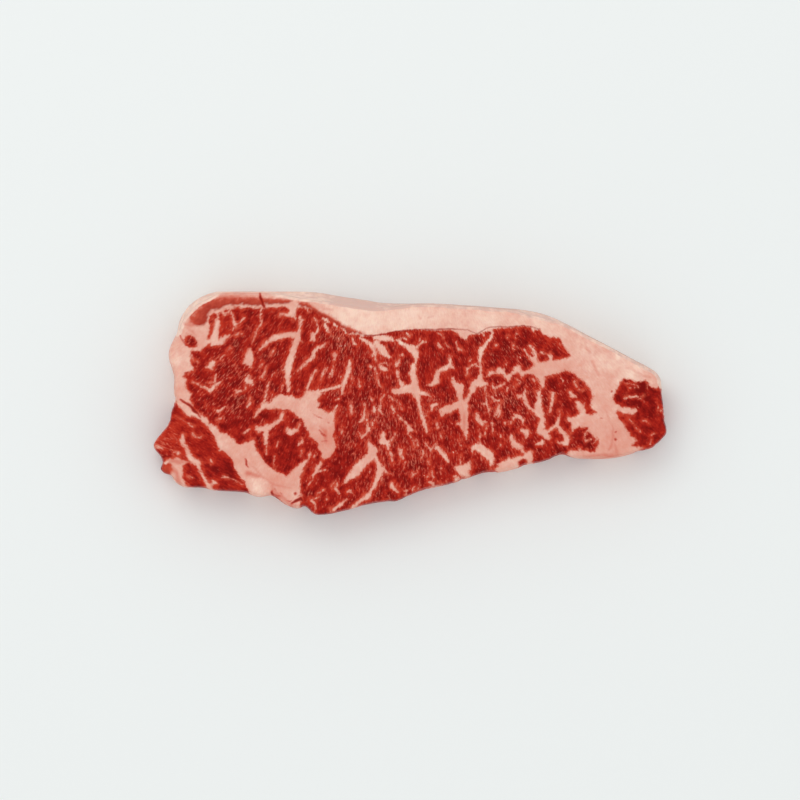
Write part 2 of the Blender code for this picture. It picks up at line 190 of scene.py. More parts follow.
# Seams and streaks of fat: points along each, with its half width there.
STREAKS = [
    # Thick end and the muscle beside it.
    [(-79.5, 40.2, 0.5), (-79, 37.5, 0.5), (-78.3, 34.8, 0.9), (-77.6, 33.6, 0.6), (-79, 32.3, 0.3)],
    [(-77.6, 34.5, 0.5), (-75.8, 35.8, 0.3), (-74.2, 37.4, 0.6), (-74.8, 38.7, 0.2)],
    [(-84, 40.6, 0.5), (-82.8, 39, 0.7), (-81.2, 40, 0.5), (-80, 41.3, 0.6)],
    [(-78.3, 29.7, 0.3), (-76.5, 30.8, 0.5), (-75, 30.5, 0.3)],
    [
        (-84, 40.9, 0.5), (-81.5, 42, 0.7), (-79.3, 42, 0.6), (-76.8, 43.2, 0.4), (-75.3, 42, 0.3),
        (-73.5, 43, 0.4), (-71.5, 43, 0.5), (-69.3, 42.2, 0.6), (-67, 43, 0.5), (-64.8, 42, 0.5),
        (-62.5, 42.9, 0.4), (-60, 43, 0.3), (-58.3, 42.7, 0.3), (-56.8, 43.2, 0.2), (-54.5, 42.8, 0.5),
    ],
    [
        (-66.4, 41.8, 0.3), (-66.8, 38, 0.4), (-66, 35.8, 0.5), (-67.6, 33.9, 0.5), (-68.7, 31.5, 0.5),
        (-69.6, 29, 0.3), (-70.4, 26.6, 0.2),
    ],
    [
        (-97, 9.4, 0.4), (-94.5, 7.8, 0.5), (-91.5, 6.7, 0.5), (-89.4, 5.4, 1.1), (-87.8, 6.7, 0.9),
        (-86.3, 8.5, 0.7), (-84.8, 9.2, 0.4),
    ],
    [(-87, 9.5, 0.6), (-86.8, 12.5, 0.4)],
    [(-89.5, 9, 0.3), (-88.3, 9.2, 0.3)],
    [(-72, 11.6, 0.6), (-72.7, 9.5, 1.2), (-71.2, 9.2, 1.3), (-70.3, 7.8, 0.6)],
    [(-73.5, 8, 0.4), (-73.2, 6, 0.3)],
    [(-77.5, 5, 0.9), (-75, 5.2, 0.5)],
    [(-87.3, -3.3, 0.3), (-85.5, -3.8, 0.9), (-83.5, -2.5, 0.4), (-82.5, -1.7, 0.2)],
    [(-86.3, -8, 0.4), (-84.5, -7.5, 0.5)],
    [(-91.3, -2, 0.2), (-90.6, -1, 0.3)],
    [(-71.5, 2, 0.4), (-71.3, -0.5, 0.7), (-72.5, -1.8, 0.5)],
    [(-74, -13.8, 0.4), (-72.5, -12.6, 0.7), (-71.5, -11.5, 0.3)],
    [(-97.3, 21, 0.25), (-97, 18.8, 0.3)],
    [(-95, 18.5, 0.2), (-94.6, 17.3, 0.25)],
    [(-67, 11, 0.3), (-66, 11.5, 0.5), (-64.8, 13.6, 0.4), (-64.2, 16, 0.2)],
    [(-67, 16, 0.3), (-66, 17.8, 0.3)],
    [(-65.3, -1, 0.8), (-64.6, 3, 0.5), (-63.6, 7, 0.5), (-63, 9, 0.3)],
    [(-62.3, 0.5, 0.3), (-61.6, 3.5, 0.2)],
    [(-62.2, 21, 0.2), (-61, 23, 0.3)],
    [(-61.8, 11.5, 0.2), (-60.5, 13.5, 0.2)],
    [(-57.6, 5, 0.3), (-57, 7.5, 0.4)],
    [(-81.5, 23, 0.3), (-80.2, 24.4, 0.2)],
    [(-84.5, 19.3, 0.4), (-82.5, 21.3, 0.3)],
    # Upper left body.
    [
        (-49, 38, 0.8), (-48.4, 36.8, 0.9), (-49, 34.5, 0.7), (-49.3, 33, 0.7), (-50, 29.5, 1.4),
        (-51.2, 26, 1.5), (-52.6, 21.5, 1.6), (-54.2, 16, 1.9), (-54.6, 11.5, 1.4), (-54.2, 7, 0.9),
        (-54.2, 5, 0.6),
    ],
    [
        (-50.5, 30, 1.6), (-54, 30.6, 1.3), (-58.5, 29.3, 1.4), (-61.5, 28.6, 1.2), (-64.5, 26, 0.9),
        (-67.5, 23.5, 0.4),
    ],
    [(-54.5, 15.5, 1), (-57.2, 14.3, 0.4)],
    [(-50, 28, 0.9), (-48, 27.2, 0.3)],
    [(-58.2, 38.2, 0.3), (-57.6, 39.6, 0.4), (-56, 38.9, 0.4)],
    [(-49.5, 42.2, 0.3), (-47.5, 42.6, 0.5), (-46, 41.3, 0.6), (-45.2, 40.5, 0.4)],
    [
        (-42.8, 38, 0.35), (-41.6, 36, 0.4), (-41.2, 33, 0.5), (-41.8, 31, 0.6), (-43.2, 30.2, 1.2),
        (-43.4, 28.6, 1.4),
    ],
    [(-38.8, 37.4, 0.7), (-37.4, 36.8, 0.9), (-36.2, 35.8, 0.5)],
    [(-38, 34.8, 0.6), (-37.1, 33, 0.8), (-36.4, 31.2, 0.3)],
    [(-33.4, 35, 0.7), (-32.2, 33.4, 0.4)],
    [(-31, 33.4, 0.3), (-29.6, 32.8, 0.6), (-28.5, 31.3, 0.5)],
    [(-27.3, 30.7, 0.3), (-25.3, 31, 0.7), (-24, 30.2, 0.3)],
    [(-25.8, 29, 0.4), (-24.9, 26.5, 0.6), (-23.8, 25.8, 0.3)],
    [
        (-37.5, 26.8, 0.3), (-38.5, 25.5, 0.6), (-41, 24.3, 1), (-42.3, 23, 1), (-43.5, 20, 0.8),
        (-46, 17.8, 0.8), (-48.5, 15.6, 0.6), (-50.3, 13.8, 0.3),
    ],
    [(-42, 14.3, 0.6), (-43.8, 12, 0.6), (-44.6, 9.5, 0.6), (-45.8, 6.5, 0.8)],
    [(-33.6, 21.4, 0.9), (-34, 19.5, 0.5), (-34.6, 17.8, 0.2)],
    [
        (-27, 18.8, 0.6), (-27.2, 15.5, 1.1), (-28.3, 12, 0.9), (-29.3, 9, 1.2), (-30.2, 6, 0.7),
        (-30.3, 3.6, 0.5),
    ],
    [(-36.8, 15.4, 0.2), (-38.4, 12.6, 0.3), (-40.2, 9.8, 0.2)],
    [(-34.3, 14.8, 0.2), (-35, 11.6, 0.4)],
    # The rims of the great mass, and the round muscle under it.
    [(-40, 5, 0.6), (-37.5, 5.5, 0.5), (-34.5, 6.8, 0.6), (-31.5, 7, 0.5)],
    [
        (-56.8, -4.3, 0.6), (-57.6, -7.5, 1), (-60.5, -9.6, 1), (-64, -11.5, 1.4), (-67.5, -12, 1.3),
        (-68.8, -11.8, 0.6),
    ],
    [(-64.5, -12, 1.4), (-64.4, -15, 1.3), (-64.3, -18, 0.9)],
    [(-64, -19.5, 0.5), (-63.9, -23, 0.3)],
    [
        (-54.6, -11, 0.4), (-54.2, -13.2, 0.9), (-53.4, -14.3, 0.7), (-51.5, -12.8, 0.8),
        (-49.6, -11.8, 0.5), (-49.3, -9.6, 0.3),
    ],
    [(-59.5, -19.6, 0.4), (-58.3, -17, 0.3)],
    [(-49.8, -19, 0.4), (-48.6, -17.8, 0.7), (-48, -16.3, 0.3)],
    [(-60.6, -23.8, 0.25), (-60.8, -28, 0.3)],
    [(-48.3, -21.5, 0.3), (-49, -24, 0.2)],
    [(-42, -22.2, 0.2), (-42.8, -24.6, 0.3)],
    # The lower edge left of the middle.
    [
        (-39.8, -27, 0.5), (-41, -28.6, 1), (-41.8, -30.6, 1), (-43, -32.5, 0.7), (-44, -35, 0.4),
        (-45.4, -36.8, 0.2),
    ],
    [(-41, -31, 0.5), (-38, -30.2, 0.3)],
    [
        (-18.4, -17, 0.5), (-18, -19, 0.9), (-16.7, -21.5, 2.2), (-17.2, -23.8, 2.2), (-20.3, -26.3, 1.9),
        (-22.8, -28.8, 2.4), (-24.5, -31.3, 2.2), (-27.2, -33.4, 1.3), (-29.3, -35.8, 0.4),
    ],
    [
        (-15.3, -24.5, 0.8), (-14.5, -27, 1), (-13.2, -29.5, 1.8), (-13.8, -32.5, 1.5), (-15, -35.5, 1.2),
        (-16.2, -38, 0.9), (-18, -40, 0.7), (-19, -42, 1.3), (-21.5, -43.5, 0.9), (-24, -45.5, 0.8),
        (-26.5, -47.3, 0.6),
    ],
    [(-12, -29.5, 1), (-10.5, -31, 0.5), (-8.7, -32.2, 0.3)],
    [(-12.6, -33.5, 0.3), (-12.4, -36, 0.15)],
    [(-28.5, -43, 0.4), (-30, -44.8, 0.7), (-32, -46.3, 0.9), (-34, -48, 0.9)],
    [(-32.2, -36, 0.3), (-32.8, -38.5, 0.6), (-31.6, -40.8, 0.4)],
    [(-33, -35, 0.2), (-35, -37.5, 0.2)],
    [(-44.5, -43, 0.5), (-43.6, -44, 0.9), (-42.6, -45.5, 0.5), (-42.2, -47.5, 0.3), (-42.9, -49.3, 0.25)],
    [(-43, -43.3, 0.3), (-41, -42.2, 0.3)],
    [(-27.8, -39.8, 0.3), (-26.5, -39.3, 0.6), (-26, -40.6, 0.3)],
    [(-41.2, -41, 0.2), (-39, -39.2, 0.3)],
    [(-37.5, -43, 0.3), (-37.3, -44, 0.2)],
    [(-35.6, -47, 0.2), (-35.4, -48.8, 0.2)],
    # Between the great mass and the middle.
    [(-20.4, -0.3, 0.4), (-20.2, -3, 0.3), (-20.2, -5.5, 0.7), (-21, -7.2, 0.8), (-22.5, -8.8, 0.5)],
    [(-19.6, -7, 0.5), (-18.8, -9.5, 0.4), (-18.6, -12.5, 0.9), (-20, -14.4, 0.4), (-21.6, -15.3, 0.9)],
    [(-22.8, -13.2, 0.3), (-21.8, -16, 0.5)],
    [(-26.6, -1.3, 0.6), (-26, -4, 0.6), (-25.8, -5.8, 0.3)],
    [(-16, -1.5, 0.4), (-16.1, -3.5, 1)],
    [(-13.2, -1.5, 0.5), (-13.6, -3, 0.8), (-12.6, -5, 0.4)],
    [(-17.5, 2.5, 0.4), (-16.8, 1.2, 0.4)],
    [(-11.5, 3.2, 0.4), (-12.6, 1.5, 0.3), (-12.9, -0.5, 0.3)],
    [(-16.6, -9, 0.5), (-16.4, -10.2, 0.3)],
    [(-26, 10.5, 0.5), (-25.4, 8.9, 0.3)],
    [(-23, 10, 0.2), (-22.5, 7.2, 0.4)],
    [(-14.9, 12, 0.3), (-14.2, 9, 0.6), (-13, 6.5, 0.3)],
    [(-30.2, -10.8, 0.2), (-30.6, -14, 0.3)],
    [(-33, 1.2, 0.2), (-31.6, 1.5, 0.3)],
    [(-11.8, -13.3, 0.5), (-12.2, -15.3, 1.3), (-12.3, -17.2, 1.7)],
    [(-12, -17.5, 1.5), (-10, -18, 1.1), (-9.6, -20.5, 0.6), (-8.3, -23, 0.6), (-7.9, -26.5, 0.5)],
    [(-9.5, -17.8, 0.6), (-7.6, -16.3, 0.4), (-6.6, -14, 0.35)],
    # Under the lowest part of the cap.
    [
        (-22.3, 29, 0.5), (-20.5, 27.8, 1), (-18.2, 26.5, 1), (-16.3, 25, 1.2), (-15.8, 22.5, 0.8),
        (-17, 20.8, 0.6),
    ],
    [(-15.5, 29, 1.2), (-12, 28.6, 1.6), (-9, 28.3, 1.3), (-7.6, 27.3, 0.5)],
    [(-15, 26.5, 1.5), (-13.2, 23.8, 1.7), (-11, 21.8, 1.6), (-9.5, 20.4, 0.8)],
    [(-14, 16.5, 0.4), (-12.5, 15.5, 1.1), (-10.8, 14.8, 0.8), (-10.2, 14.2, 0.4)],
    [(-13, 17.5, 0.2), (-10.5, 17.5, 0.3), (-9.3, 16, 0.2)],
    [(-6.3, 16.5, 0.7), (-5, 18, 0.8), (-4.3, 19.6, 0.3)],
    [(-3.8, 21.4, 0.6), (-3.3, 21, 0.5)],
    [(-17.8, 16, 0.6), (-15.8, 15.3, 0.5), (-14.7, 13, 0.4)],
    # The long seam of the middle and its cross.
    [
        (-5.3, 27.8, 0.9), (-4, 26.6, 1.1), (-1.5, 25.2, 1), (1, 23.8, 2), (2.4, 21.8, 1.6),
        (2.9, 19.8, 0.9), (2.4, 17.8, 0.5), (1.4, 16, 1.4), (1.2, 13, 1.5), (1.9, 10, 1.6), (2, 6.5, 2.3),
        (3.2, 3, 1.6), (3.8, 0, 0.9), (4.4, -3, 0.9), (5.4, -6.5, 1), (6.4, -9, 0.9), (7.3, -11.8, 0.8),
        (7.9, -13.8, 0.3),
    ],
    [(1, 6.2, 2), (-2.5, 5.8, 1.9), (-5, 4.8, 1.5), (-7.3, 5, 1.2)],
    [(-3.5, 7.5, 1.2), (-4.8, 9.8, 0.6), (-5.4, 12, 0.6), (-5.9, 14.3, 0.5)],
    [(3, 4.8, 1.6), (5.5, 4, 1), (7.5, 3.8, 0.8), (9.3, 2.6, 0.3)],
    [(2.5, 24.5, 0.9), (4, 26, 0.6), (5.5, 27.2, 0.6), (7.3, 27.3, 0.4)],
    [(4.3, 27.5, 0.3), (4.5, 28.8, 0.2)],
    [(-3.5, 28.9, 0.3), (-1.8, 28.2, 0.4)],
    [(-1.5, 31, 0.3), (-0.8, 29.5, 0.4), (0.3, 30.4, 0.2)],
    # Flecks round the cross and below it.
    [(-5.2, -5.8, 0.4), (-4.2, -7.3, 0.7), (-2.2, -8.9, 0.5), (-0.6, -10.8, 1), (0.2, -12.2, 1.1)],
    [(-0.6, -12, 0.8), (-0.4, -13.8, 0.5), (0.8, -16, 0.4), (1.8, -18.5, 0.4), (1.8, -20, 0.2)],
    [(3.3, -16.8, 0.5), (3.4, -18.8, 0.5)],
    [(-4.6, -21, 0.6), (-3.6, -21.2, 0.7), (-4.4, -22.8, 0.6), (-4.3, -25, 0.2)],
    [(-7.9, -1.5, 0.4), (-7.4, -3.3, 0.9), (-6.8, -4.3, 0.4)],
    [(-5.9, 0.8, 0.25), (-4.6, -1.2, 0.4), (-3.6, -2.8, 0.3)],
    [(12.1, -9.3, 0.7), (12.4, -11.2, 0.4)],
    [(13.6, -14, 0.3), (13.9, -16, 0.35)],
    [(21.8, -18, 0.3), (22.8, -19, 0.5)],
    [(7.8, -4, 0.3), (7.3, -6.2, 0.3)],
    [(-9.3, 3, 0.3), (-7.5, 1, 0.3), (-6, 1, 0.2)],
    [(11.9, -18.5, 0.5), (12, -20.8, 0.7), (13.5, -22.2, 0.9), (15.5, -23.8, 0.9), (17.2, -25.6, 0.5)],
    [(6.8, -18, 0.3), (8.3, -20, 0.5), (9.4, -21.5, 0.5), (10.5, -20, 0.3), (11.3, -18.7, 0.3)],
    [(5.8, -21, 0.3), (6, -23, 0.5), (5, -25, 0.2)],
    # Flecks along the lower edge.
    [(-7.8, -35.5, 0.4), (-8.2, -37, 0.9), (-6.8, -38.8, 1), (-5.5, -39.8, 0.5)],
    [(-2.2, -39.5, 0.4), (-1, -39.2, 0.3), (-1.8, -41.5, 0.4)],
    [(1.5, -39.5, 0.25), (1.5, -38, 0.3), (2.8, -37.6, 0.3), (4, -38.5, 0.2)],
    [(0.8, -31.2, 0.3), (0.9, -33, 0.4)],
    [(1.8, -32, 0.3), (2.8, -31.4, 0.2)],
    [(10, -30.5, 0.3), (9.8, -32, 0.4), (10.6, -34, 0.3)],
    [(8.8, -35.6, 0.5), (10.2, -36.2, 0.6)],
    [(5, -40, 0.3), (8, -38.5, 0.5), (10.5, -37.3, 0.4), (14.2, -36.3, 0.4)],
    [(7.6, -33.2, 0.4), (7.9, -33.5, 0.4)],
    [(13.7, -29.3, 0.4), (14.3, -29.6, 0.3)],
    [(19.8, -33, 0.6), (21.5, -33.3, 0.8), (19.8, -34.8, 0.5)],
    [(8.3, -26.3, 0.3), (8.5, -28, 0.2)],
    [(-2.3, -26.5, 0.3), (-2.4, -29, 0.2)],
    # Seams right of the middle.
    [
        (17.6, 21, 0.4), (17.8, 19, 0.8), (17.9, 17, 1.2), (16.5, 15.9, 1.2), (14.3, 14.8, 1),
        (12.6, 13.8, 0.9), (12, 12, 1.2), (11.7, 9.5, 1.4), (9.5, 7.8, 0.9), (8, 8, 0.6),
    ],
    [(18.5, 16.3, 0.8), (19.6, 15.3, 0.4)],
    [(12.6, 26.2, 0.5), (13.5, 24.8, 0.5), (14.8, 23.8, 0.3)],
    [(15.8, 26.5, 0.2), (17.2, 24.8, 0.3)],
    [(20.6, 27, 0.3), (21.3, 25, 0.4), (22, 23.8, 0.6), (23.2, 23.4, 0.5)],
    [
        (20.5, 31.6, 0.5), (23, 30.3, 1.3), (24.6, 29.3, 1.4), (25.5, 30.5, 1), (27.5, 31.2, 0.7),
        (29.3, 30.8, 0.3),
    ],
    [(12.5, 31, 0.3), (13.8, 30.2, 0.3), (15, 28.6, 0.25)],
    [
        (36.8, 31, 0.7), (36.3, 29, 1), (34.9, 27.5, 0.7), (33.6, 25.3, 0.9), (32, 24, 1.3),
        (31.3, 21.5, 1.1), (31.2, 18.5, 0.9), (31.3, 15.5, 0.6), (31.5, 12.5, 0.5), (31.3, 11, 1.2),
        (31, 9, 2.2), (28.5, 8.3, 1.6), (28, 6, 1.6), (27, 4, 0.8), (26, 1.8, 1), (24.5, 0, 1.2),
    ],
    [(31.5, 8.5, 2), (34, 8.2, 0.8), (35.5, 7.5, 0.3)],
    [(25.4, 12.5, 0.5), (25.6, 15, 0.6), (27, 16, 0.5), (29, 17, 0.6), (30.5, 15.8, 0.4)],
    [(27.5, 19.4, 0.3), (26.3, 18.4, 0.3)],
    [(32.8, 31, 0.5), (33.3, 29.8, 0.3)],
    [
        (18.8, 11, 0.6), (20, 8, 1.2), (22, 6.5, 2.3), (22.3, 3.5, 1.3), (22.5, 1.5, 1.2),
        (23.5, -1.5, 2.6), (24.3, -5, 1.8), (24, -8, 1.8), (24.3, -11, 1.6), (24.9, -14, 0.9),
        (24.9, -16, 0.4),
    ],
    [(23, -1, 2), (19.5, -1.8, 1.5), (17, -3, 2), (14.8, -3.6, 1.6), (14.3, -5.8, 0.8)],
    [(12, -0.9, 0.6), (10, -1.5, 1), (9.8, -3.5, 0.5)],
    [(23, -9.5, 1.2), (21, -9.3, 0.4)],
    [(33.6, 7, 0.4), (34, 3, 0.3), (34, -0.5, 0.7), (35, -3, 0.7), (35.3, -5, 0.4)],
    [(34, -0.8, 0.6), (32, -0.5, 0.3)],
    [(30.4, -5.5, 0.8), (30.6, -7.5, 1), (31.8, -8.9, 1), (34, -8.6, 0.4)],
    [
        (27.6, -22, 0.4), (28.2, -20, 1.2), (31, -19.8, 1.9), (33.5, -21.5, 1.7), (35.8, -23.5, 1.8),
        (36.4, -26.3, 1.3), (36.3, -28, 0.8),
    ],
    [(31, -18.5, 0.5), (31.2, -15.5, 0.4), (31, -12, 0.3)],
    [(33, -14.5, 0.3), (34, -11.5, 0.3), (34.3, -9, 0.3)],
    # The upper right lobe.
    [(46.3, 25.8, 0.3), (46, 24, 0.4)],
    [(38.3, 25.7, 0.4), (38.5, 25.2, 0.4)],
    [(43.5, 29.7, 0.3), (43.7, 29.2, 0.3)],
    [(47.5, 31, 0.3), (47.3, 29.3, 0.4)],
    [(51, 23.8, 0.3), (52, 22.3, 0.6), (53.3, 20.8, 0.6), (54.2, 19.8, 0.5)],
    [(53.7, 25.4, 0.3), (54.5, 24.2, 0.5), (55.6, 21.5, 0.8)],
    [(58, 22.4, 0.4), (59.2, 22.3, 0.8), (60.3, 21.8, 0.3)],
    [(43.3, 18, 0.3), (42.8, 16.5, 0.4)],
    # The lower right body.
    [
        (57.8, 4.5, 0.9), (57.5, 1.5, 1.2), (57.3, -1.5, 1.7), (57, -3.8, 2.3), (58, -5, 2),
        (59.2, -7.5, 1.1), (58.7, -10, 1.8), (58.2, -12.5, 1.9), (60.3, -13.8, 1.8), (61.5, -15.5, 1.4),
        (61.7, -16.5, 0.7),
    ],
    [(58, 5, 0.7), (56.5, 5, 0.3)],
    [(63.8, 4, 0.8), (63.6, 1, 0.9), (63, -1.5, 0.6), (62.4, -4.5, 0.4)],
    [
        (67, -3.8, 0.25), (66.8, -6, 0.5), (66, -8.3, 0.9), (65.6, -10.2, 1), (67.2, -12, 1.2),
        (69, -14, 1.2), (70, -16.5, 1.6), (69.5, -18.3, 1.2), (66.5, -18, 0.5), (65, -17.2, 0.3),
    ],
    [(65, -10.5, 0.8), (62.5, -12.3, 0.7), (61, -13.5, 0.9)],
    [(71.2, 4.3, 0.7), (72.3, 3, 1), (73.8, 2.6, 0.7)],
    [(67.3, 10.8, 0.3), (68.2, 9.6, 0.6)],
    [(75.5, 5.9, 0.3), (77, 5.3, 0.35)],
    [(73.5, 9, 0.4), (74, 7.5, 0.4)],
    [
        (51.4, 6, 0.3), (51.2, 4, 0.7), (51, 2.2, 1.2), (51.8, -0.3, 0.9), (53.2, -2.2, 0.7),
        (54.8, -4.2, 0.5),
    ],
    [(50, 2.7, 0.9), (48.3, 2.6, 0.5), (47.6, 3.3, 0.2)],
    [(46.2, -7.5, 0.6), (47.3, -5.8, 0.8), (49, -6.8, 0.9), (50.1, -8.5, 0.7), (50.3, -10.2, 0.3)],
    [(45, -8.8, 0.5), (44.9, -10, 0.2)],
    [(49.6, -12.6, 0.7), (51.6, -13, 1.2), (52.3, -14.3, 1.1), (51.6, -15.7, 0.5)],
    [
        (45.2, -15, 0.8), (45.4, -17.5, 0.8), (46.4, -19.3, 1.2), (48.5, -18.8, 1), (50, -20.2, 0.7),
        (50.5, -22, 0.6),
    ],
    [(56.3, -18.6, 0.6), (58.5, -18.5, 1.1), (59.5, -17.5, 0.8)],
    [(36.5, 8.5, 0.3), (37.5, 6.5, 0.7), (38.8, 6.5, 0.5), (40.5, 7.5, 0.6), (42.2, 8.3, 0.5)],
    [(38, 6, 0.5), (38.2, 4.5, 0.3)],
    [(43.6, 6.5, 0.5), (43.4, 5, 0.4)],
    [(36.3, 2.6, 0.5), (37.6, 1, 0.6), (40, 0.8, 0.5)],
    [(39.8, -1.8, 0.3), (39.7, -4.5, 0.8), (39.5, -6.5, 0.4)],
    [(47.8, 10.2, 0.5), (49.5, 9.3, 0.4), (48.2, 8.5, 0.3)],
    [(54.8, 10.1, 0.5), (55.4, 9.7, 0.5)],
    [(46.2, 7, 0.3), (45.5, 5.8, 0.3)],
    [(36.6, -9.5, 0.6), (36.9, -12, 0.4), (36.9, -14.5, 0.2)],
    [(42.6, -8.8, 0.4), (42.7, -9.2, 0.4)],
    [(40.5, -14.8, 0.4), (40.6, -15.3, 0.4)],
    [(40.4, -18.8, 0.4), (40.6, -19.3, 0.4)],
    [
        (79.8, -12, 0.4), (78.3, -13.8, 0.45), (78, -15.5, 0.3), (78.6, -17.2, 0.4), (80.5, -16.8, 0.3),
        (81.5, -16.3, 0.15),
    ],
    [(81.9, -18.2, 0.2), (83.3, -16.8, 0.35)],
    # The narrow end's lean.
    [(96, 2, 0.1), (97.5, 2.7, 0.15), (99.5, 2.8, 0.05), (101.8, 2.9, 0.15), (103.8, 3.5, 0)],
    [(102.2, 2.6, 0.1), (103.3, 1.3, 0.05), (104.8, 0.4, 0.05)],
    [(97.3, 5, 0), (98, 6.6, 0.1), (99.8, 6.2, 0.05), (101.2, 7.3, 0.2)],
    [(95.4, 9.3, 0.1), (97.3, 8.3, 0.05), (99.5, 8, 0.15), (101.5, 6.8, 0.2)],
    [(105.8, 7.5, 0), (106.3, 4.5, 0.1)],
    [(97.4, -7.2, 0.1), (99, -8.6, 0.25), (100.2, -10, 0.15), (101.3, -11.7, 0.15), (103, -12.9, 0.1)],
    [(104, -7.9, 0.25), (105.5, -8.3, 0.1), (107.2, -9.6, 0.2)],
    [(107.8, -14.5, 0.15), (109.5, -13.5, 0.05)],
    [(107.3, -18.5, 0.15), (107.6, -16.5, 0.05)],
    [(111.8, -3.8, 0.3), (113, -2.4, 0.4)],
    [(110.3, -5, 0.1), (111, -1.5, 0.15), (111, 1.5, 0.05)],
    # The flap, with the membrane along its end.
    [(-107.5, -6.5, 0.3), (-109.5, -10.5, 0.7), (-112, -14.5, 0.8), (-114.2, -18.5, 0.8)],
    [(-114.5, -19.2, 0.6), (-112.5, -19.8, 0.7), (-110.5, -20.5, 0.3)],
    [
        (-101, -14.5, 0.6), (-101.6, -16.5, 1.2), (-101.3, -18.3, 1.3), (-99.8, -20, 0.8), (-99, -22, 1),
        (-98.3, -24.5, 1.4), (-97, -26, 1.5), (-95, -27, 1.6), (-94.3, -29.3, 0.7), (-93.7, -31, 0.7),
        (-92.3, -33, 0.7), (-90.8, -35.5, 1), (-89.5, -37.5, 1.2), (-88.5, -38.8, 0.8),
    ],
    [(-104.6, -21.8, 0.5), (-103.4, -22.8, 0.7), (-102.3, -22.6, 0.3)],
    [(-99.3, -9, 0), (-98.2, -10.2, 0.3), (-96.5, -11, 0.15)],
    [(-104.5, -6, -0.1), (-101.5, -8, 0), (-99.3, -9.2, 0)],
    [(-88, -34.8, 0.8), (-86.8, -35.8, 0.8), (-88, -36, 0.7)],
    [(-88.9, -25.6, 0.5), (-88.3, -26.8, 0.5)],
    [(-97.2, -13.6, 0.2), (-96.6, -15.3, 0.3), (-95, -15.8, 0.3), (-93.2, -15.5, 0.3)],
    [(-83.8, -33, 0.5), (-81, -33.4, 0.25), (-78.5, -34.3, 0.2), (-76.5, -36, 0.2), (-74.5, -36.7, 0.2)],
    [(-99.5, -33, 0.2), (-97.2, -33.3, 0.3)],
    # Fuller stretches of seams that are drawn above, all over the steak.
    [(29.8, -5, 0.6), (30.4, -7.5, 1.3), (32, -9.3, 1.1), (33.4, -8.8, 0.4)],
    [(39.8, -1.3, 0.4), (39.2, -3.2, 1.1), (38.4, -5, 0.7), (37.5, -5.8, 0.3)],
    [(45, -15.5, 0.8), (46.5, -18, 1.5), (49, -20.3, 1.2), (50.3, -21.3, 0.4)],
    [(28.5, -20.3, 1), (31.5, -21.2, 1.5), (34, -23, 1.7), (36.3, -25.2, 1.6)],
    [(12, -19.6, 0.7), (14, -22, 1.2), (16, -24.6, 1.1), (17.2, -26.4, 0.5)],
    [(-16.3, -1.6, 0.4), (-16, -4, 0.8)],
    [(-13.8, -1.4, 0.5), (-13.4, -3.9, 0.6)],
    [(-26.6, -0.4, 0.4), (-26.4, -3, 0.7), (-26.1, -5, 0.3)],
    [(-4.7, -20.3, 0.4), (-4.2, -22.5, 0.8), (-3.2, -24.6, 0.4)],
    [(-37.9, 16.2, 0.3), (-38.8, 13, 0.5), (-40, 10, 0.2)],
    [(-34.3, 16.4, 0.3), (-35.3, 13, 0.6), (-36.2, 10.4, 0.2)],
    [(-27.2, 18.8, 0.5), (-27, 14.5, 1.1), (-28.8, 9.8, 0.9), (-30.2, 6, 0.8), (-30.4, 3.6, 0.3)],
    [(-40.3, 4.9, 1), (-36, 6, 0.7), (-31, 7.2, 0.9)],
    [(-21.5, 28.6, 0.4), (-17.2, 26, 1), (-15.6, 22, 0.8), (-15.4, 18.5, 0.3)],
    [(-15, 26.6, 1), (-12, 23.6, 1.5), (-9.4, 20.6, 0.8)],
    [(-64.6, -11.5, 1.2), (-64.4, -14.5, 1.1), (-64.2, -18.5, 0.5)],
    [(-68.6, -11, 0.8), (-66.5, -11.8, 1)],
    [(-54.5, -11.8, 0.8), (-52.8, -13.2, 1.2), (-50.6, -12, 0.7)],
    [(95.4, 1.8, 0.3), (98.8, 2.3, 0.4), (101.6, 2.6, 0.6), (103, 1.6, 0.3)],
    [(101.6, 2.6, 0.4), (104, 3.2, 0.2)],
]

# The thin flat muscle under the cap, cut across: the upper and the lower edge of each length of it.
BANDS = [
    (
        [
            (-99.2, 35.2), (-98.8, 38.5), (-96.8, 42), (-93.3, 45), (-88, 47.2), (-80, 47.9), (-72, 47.5),
            (-66, 47), (-60, 46.9), (-55, 46.2), (-52, 45.6),
        ],
        [
            (-93.5, 34), (-91.5, 34.2), (-90.4, 36.5), (-90, 39), (-88.5, 41.5), (-85, 41.8), (-83, 42.4),
            (-81.5, 43.3), (-75, 43.8), (-69.5, 43.1), (-67.5, 43.8), (-61, 43.9), (-56, 43.7),
            (-52.5, 45),
        ],
    ),
    (
        [
            (-50.2, 44.9), (-48, 45.4), (-45.5, 44.7), (-42.5, 42.6), (-40, 40.8), (-36, 38.9),
            (-32.5, 36.7), (-29, 34.9), (-25.5, 33.3), (-22, 31.6), (-19, 30.3),
        ],
        [
            (-50, 43.4), (-45, 42.1), (-44, 41), (-41, 39.4), (-38.5, 38.1), (-35, 36.7), (-32, 35.1),
            (-30, 33.6), (-28.5, 31.7), (-24, 30.8), (-20.5, 29.8),
        ],
    ),
]

# The thin red line that goes on from it, between the cap and the great muscle.
LINES = [
    [(-20, 30.1, 0.4), (-16, 29.9, 0.3), (-10, 30.6, 0.3), (-5, 31.9, 0.35), (5, 32.5, 0.35)],
    [(5, 32.5, 0.35), (20, 32.7, 0.3), (26, 32.4, 0.2), (30, 30.6, 0.2)],
    [(30, 30.6, 0.2), (34, 33.2, 0.2), (37, 34, 0.2), (45, 33.6, 0.2), (50, 34.4, 0.2), (58, 32.8, 0.2)],
]
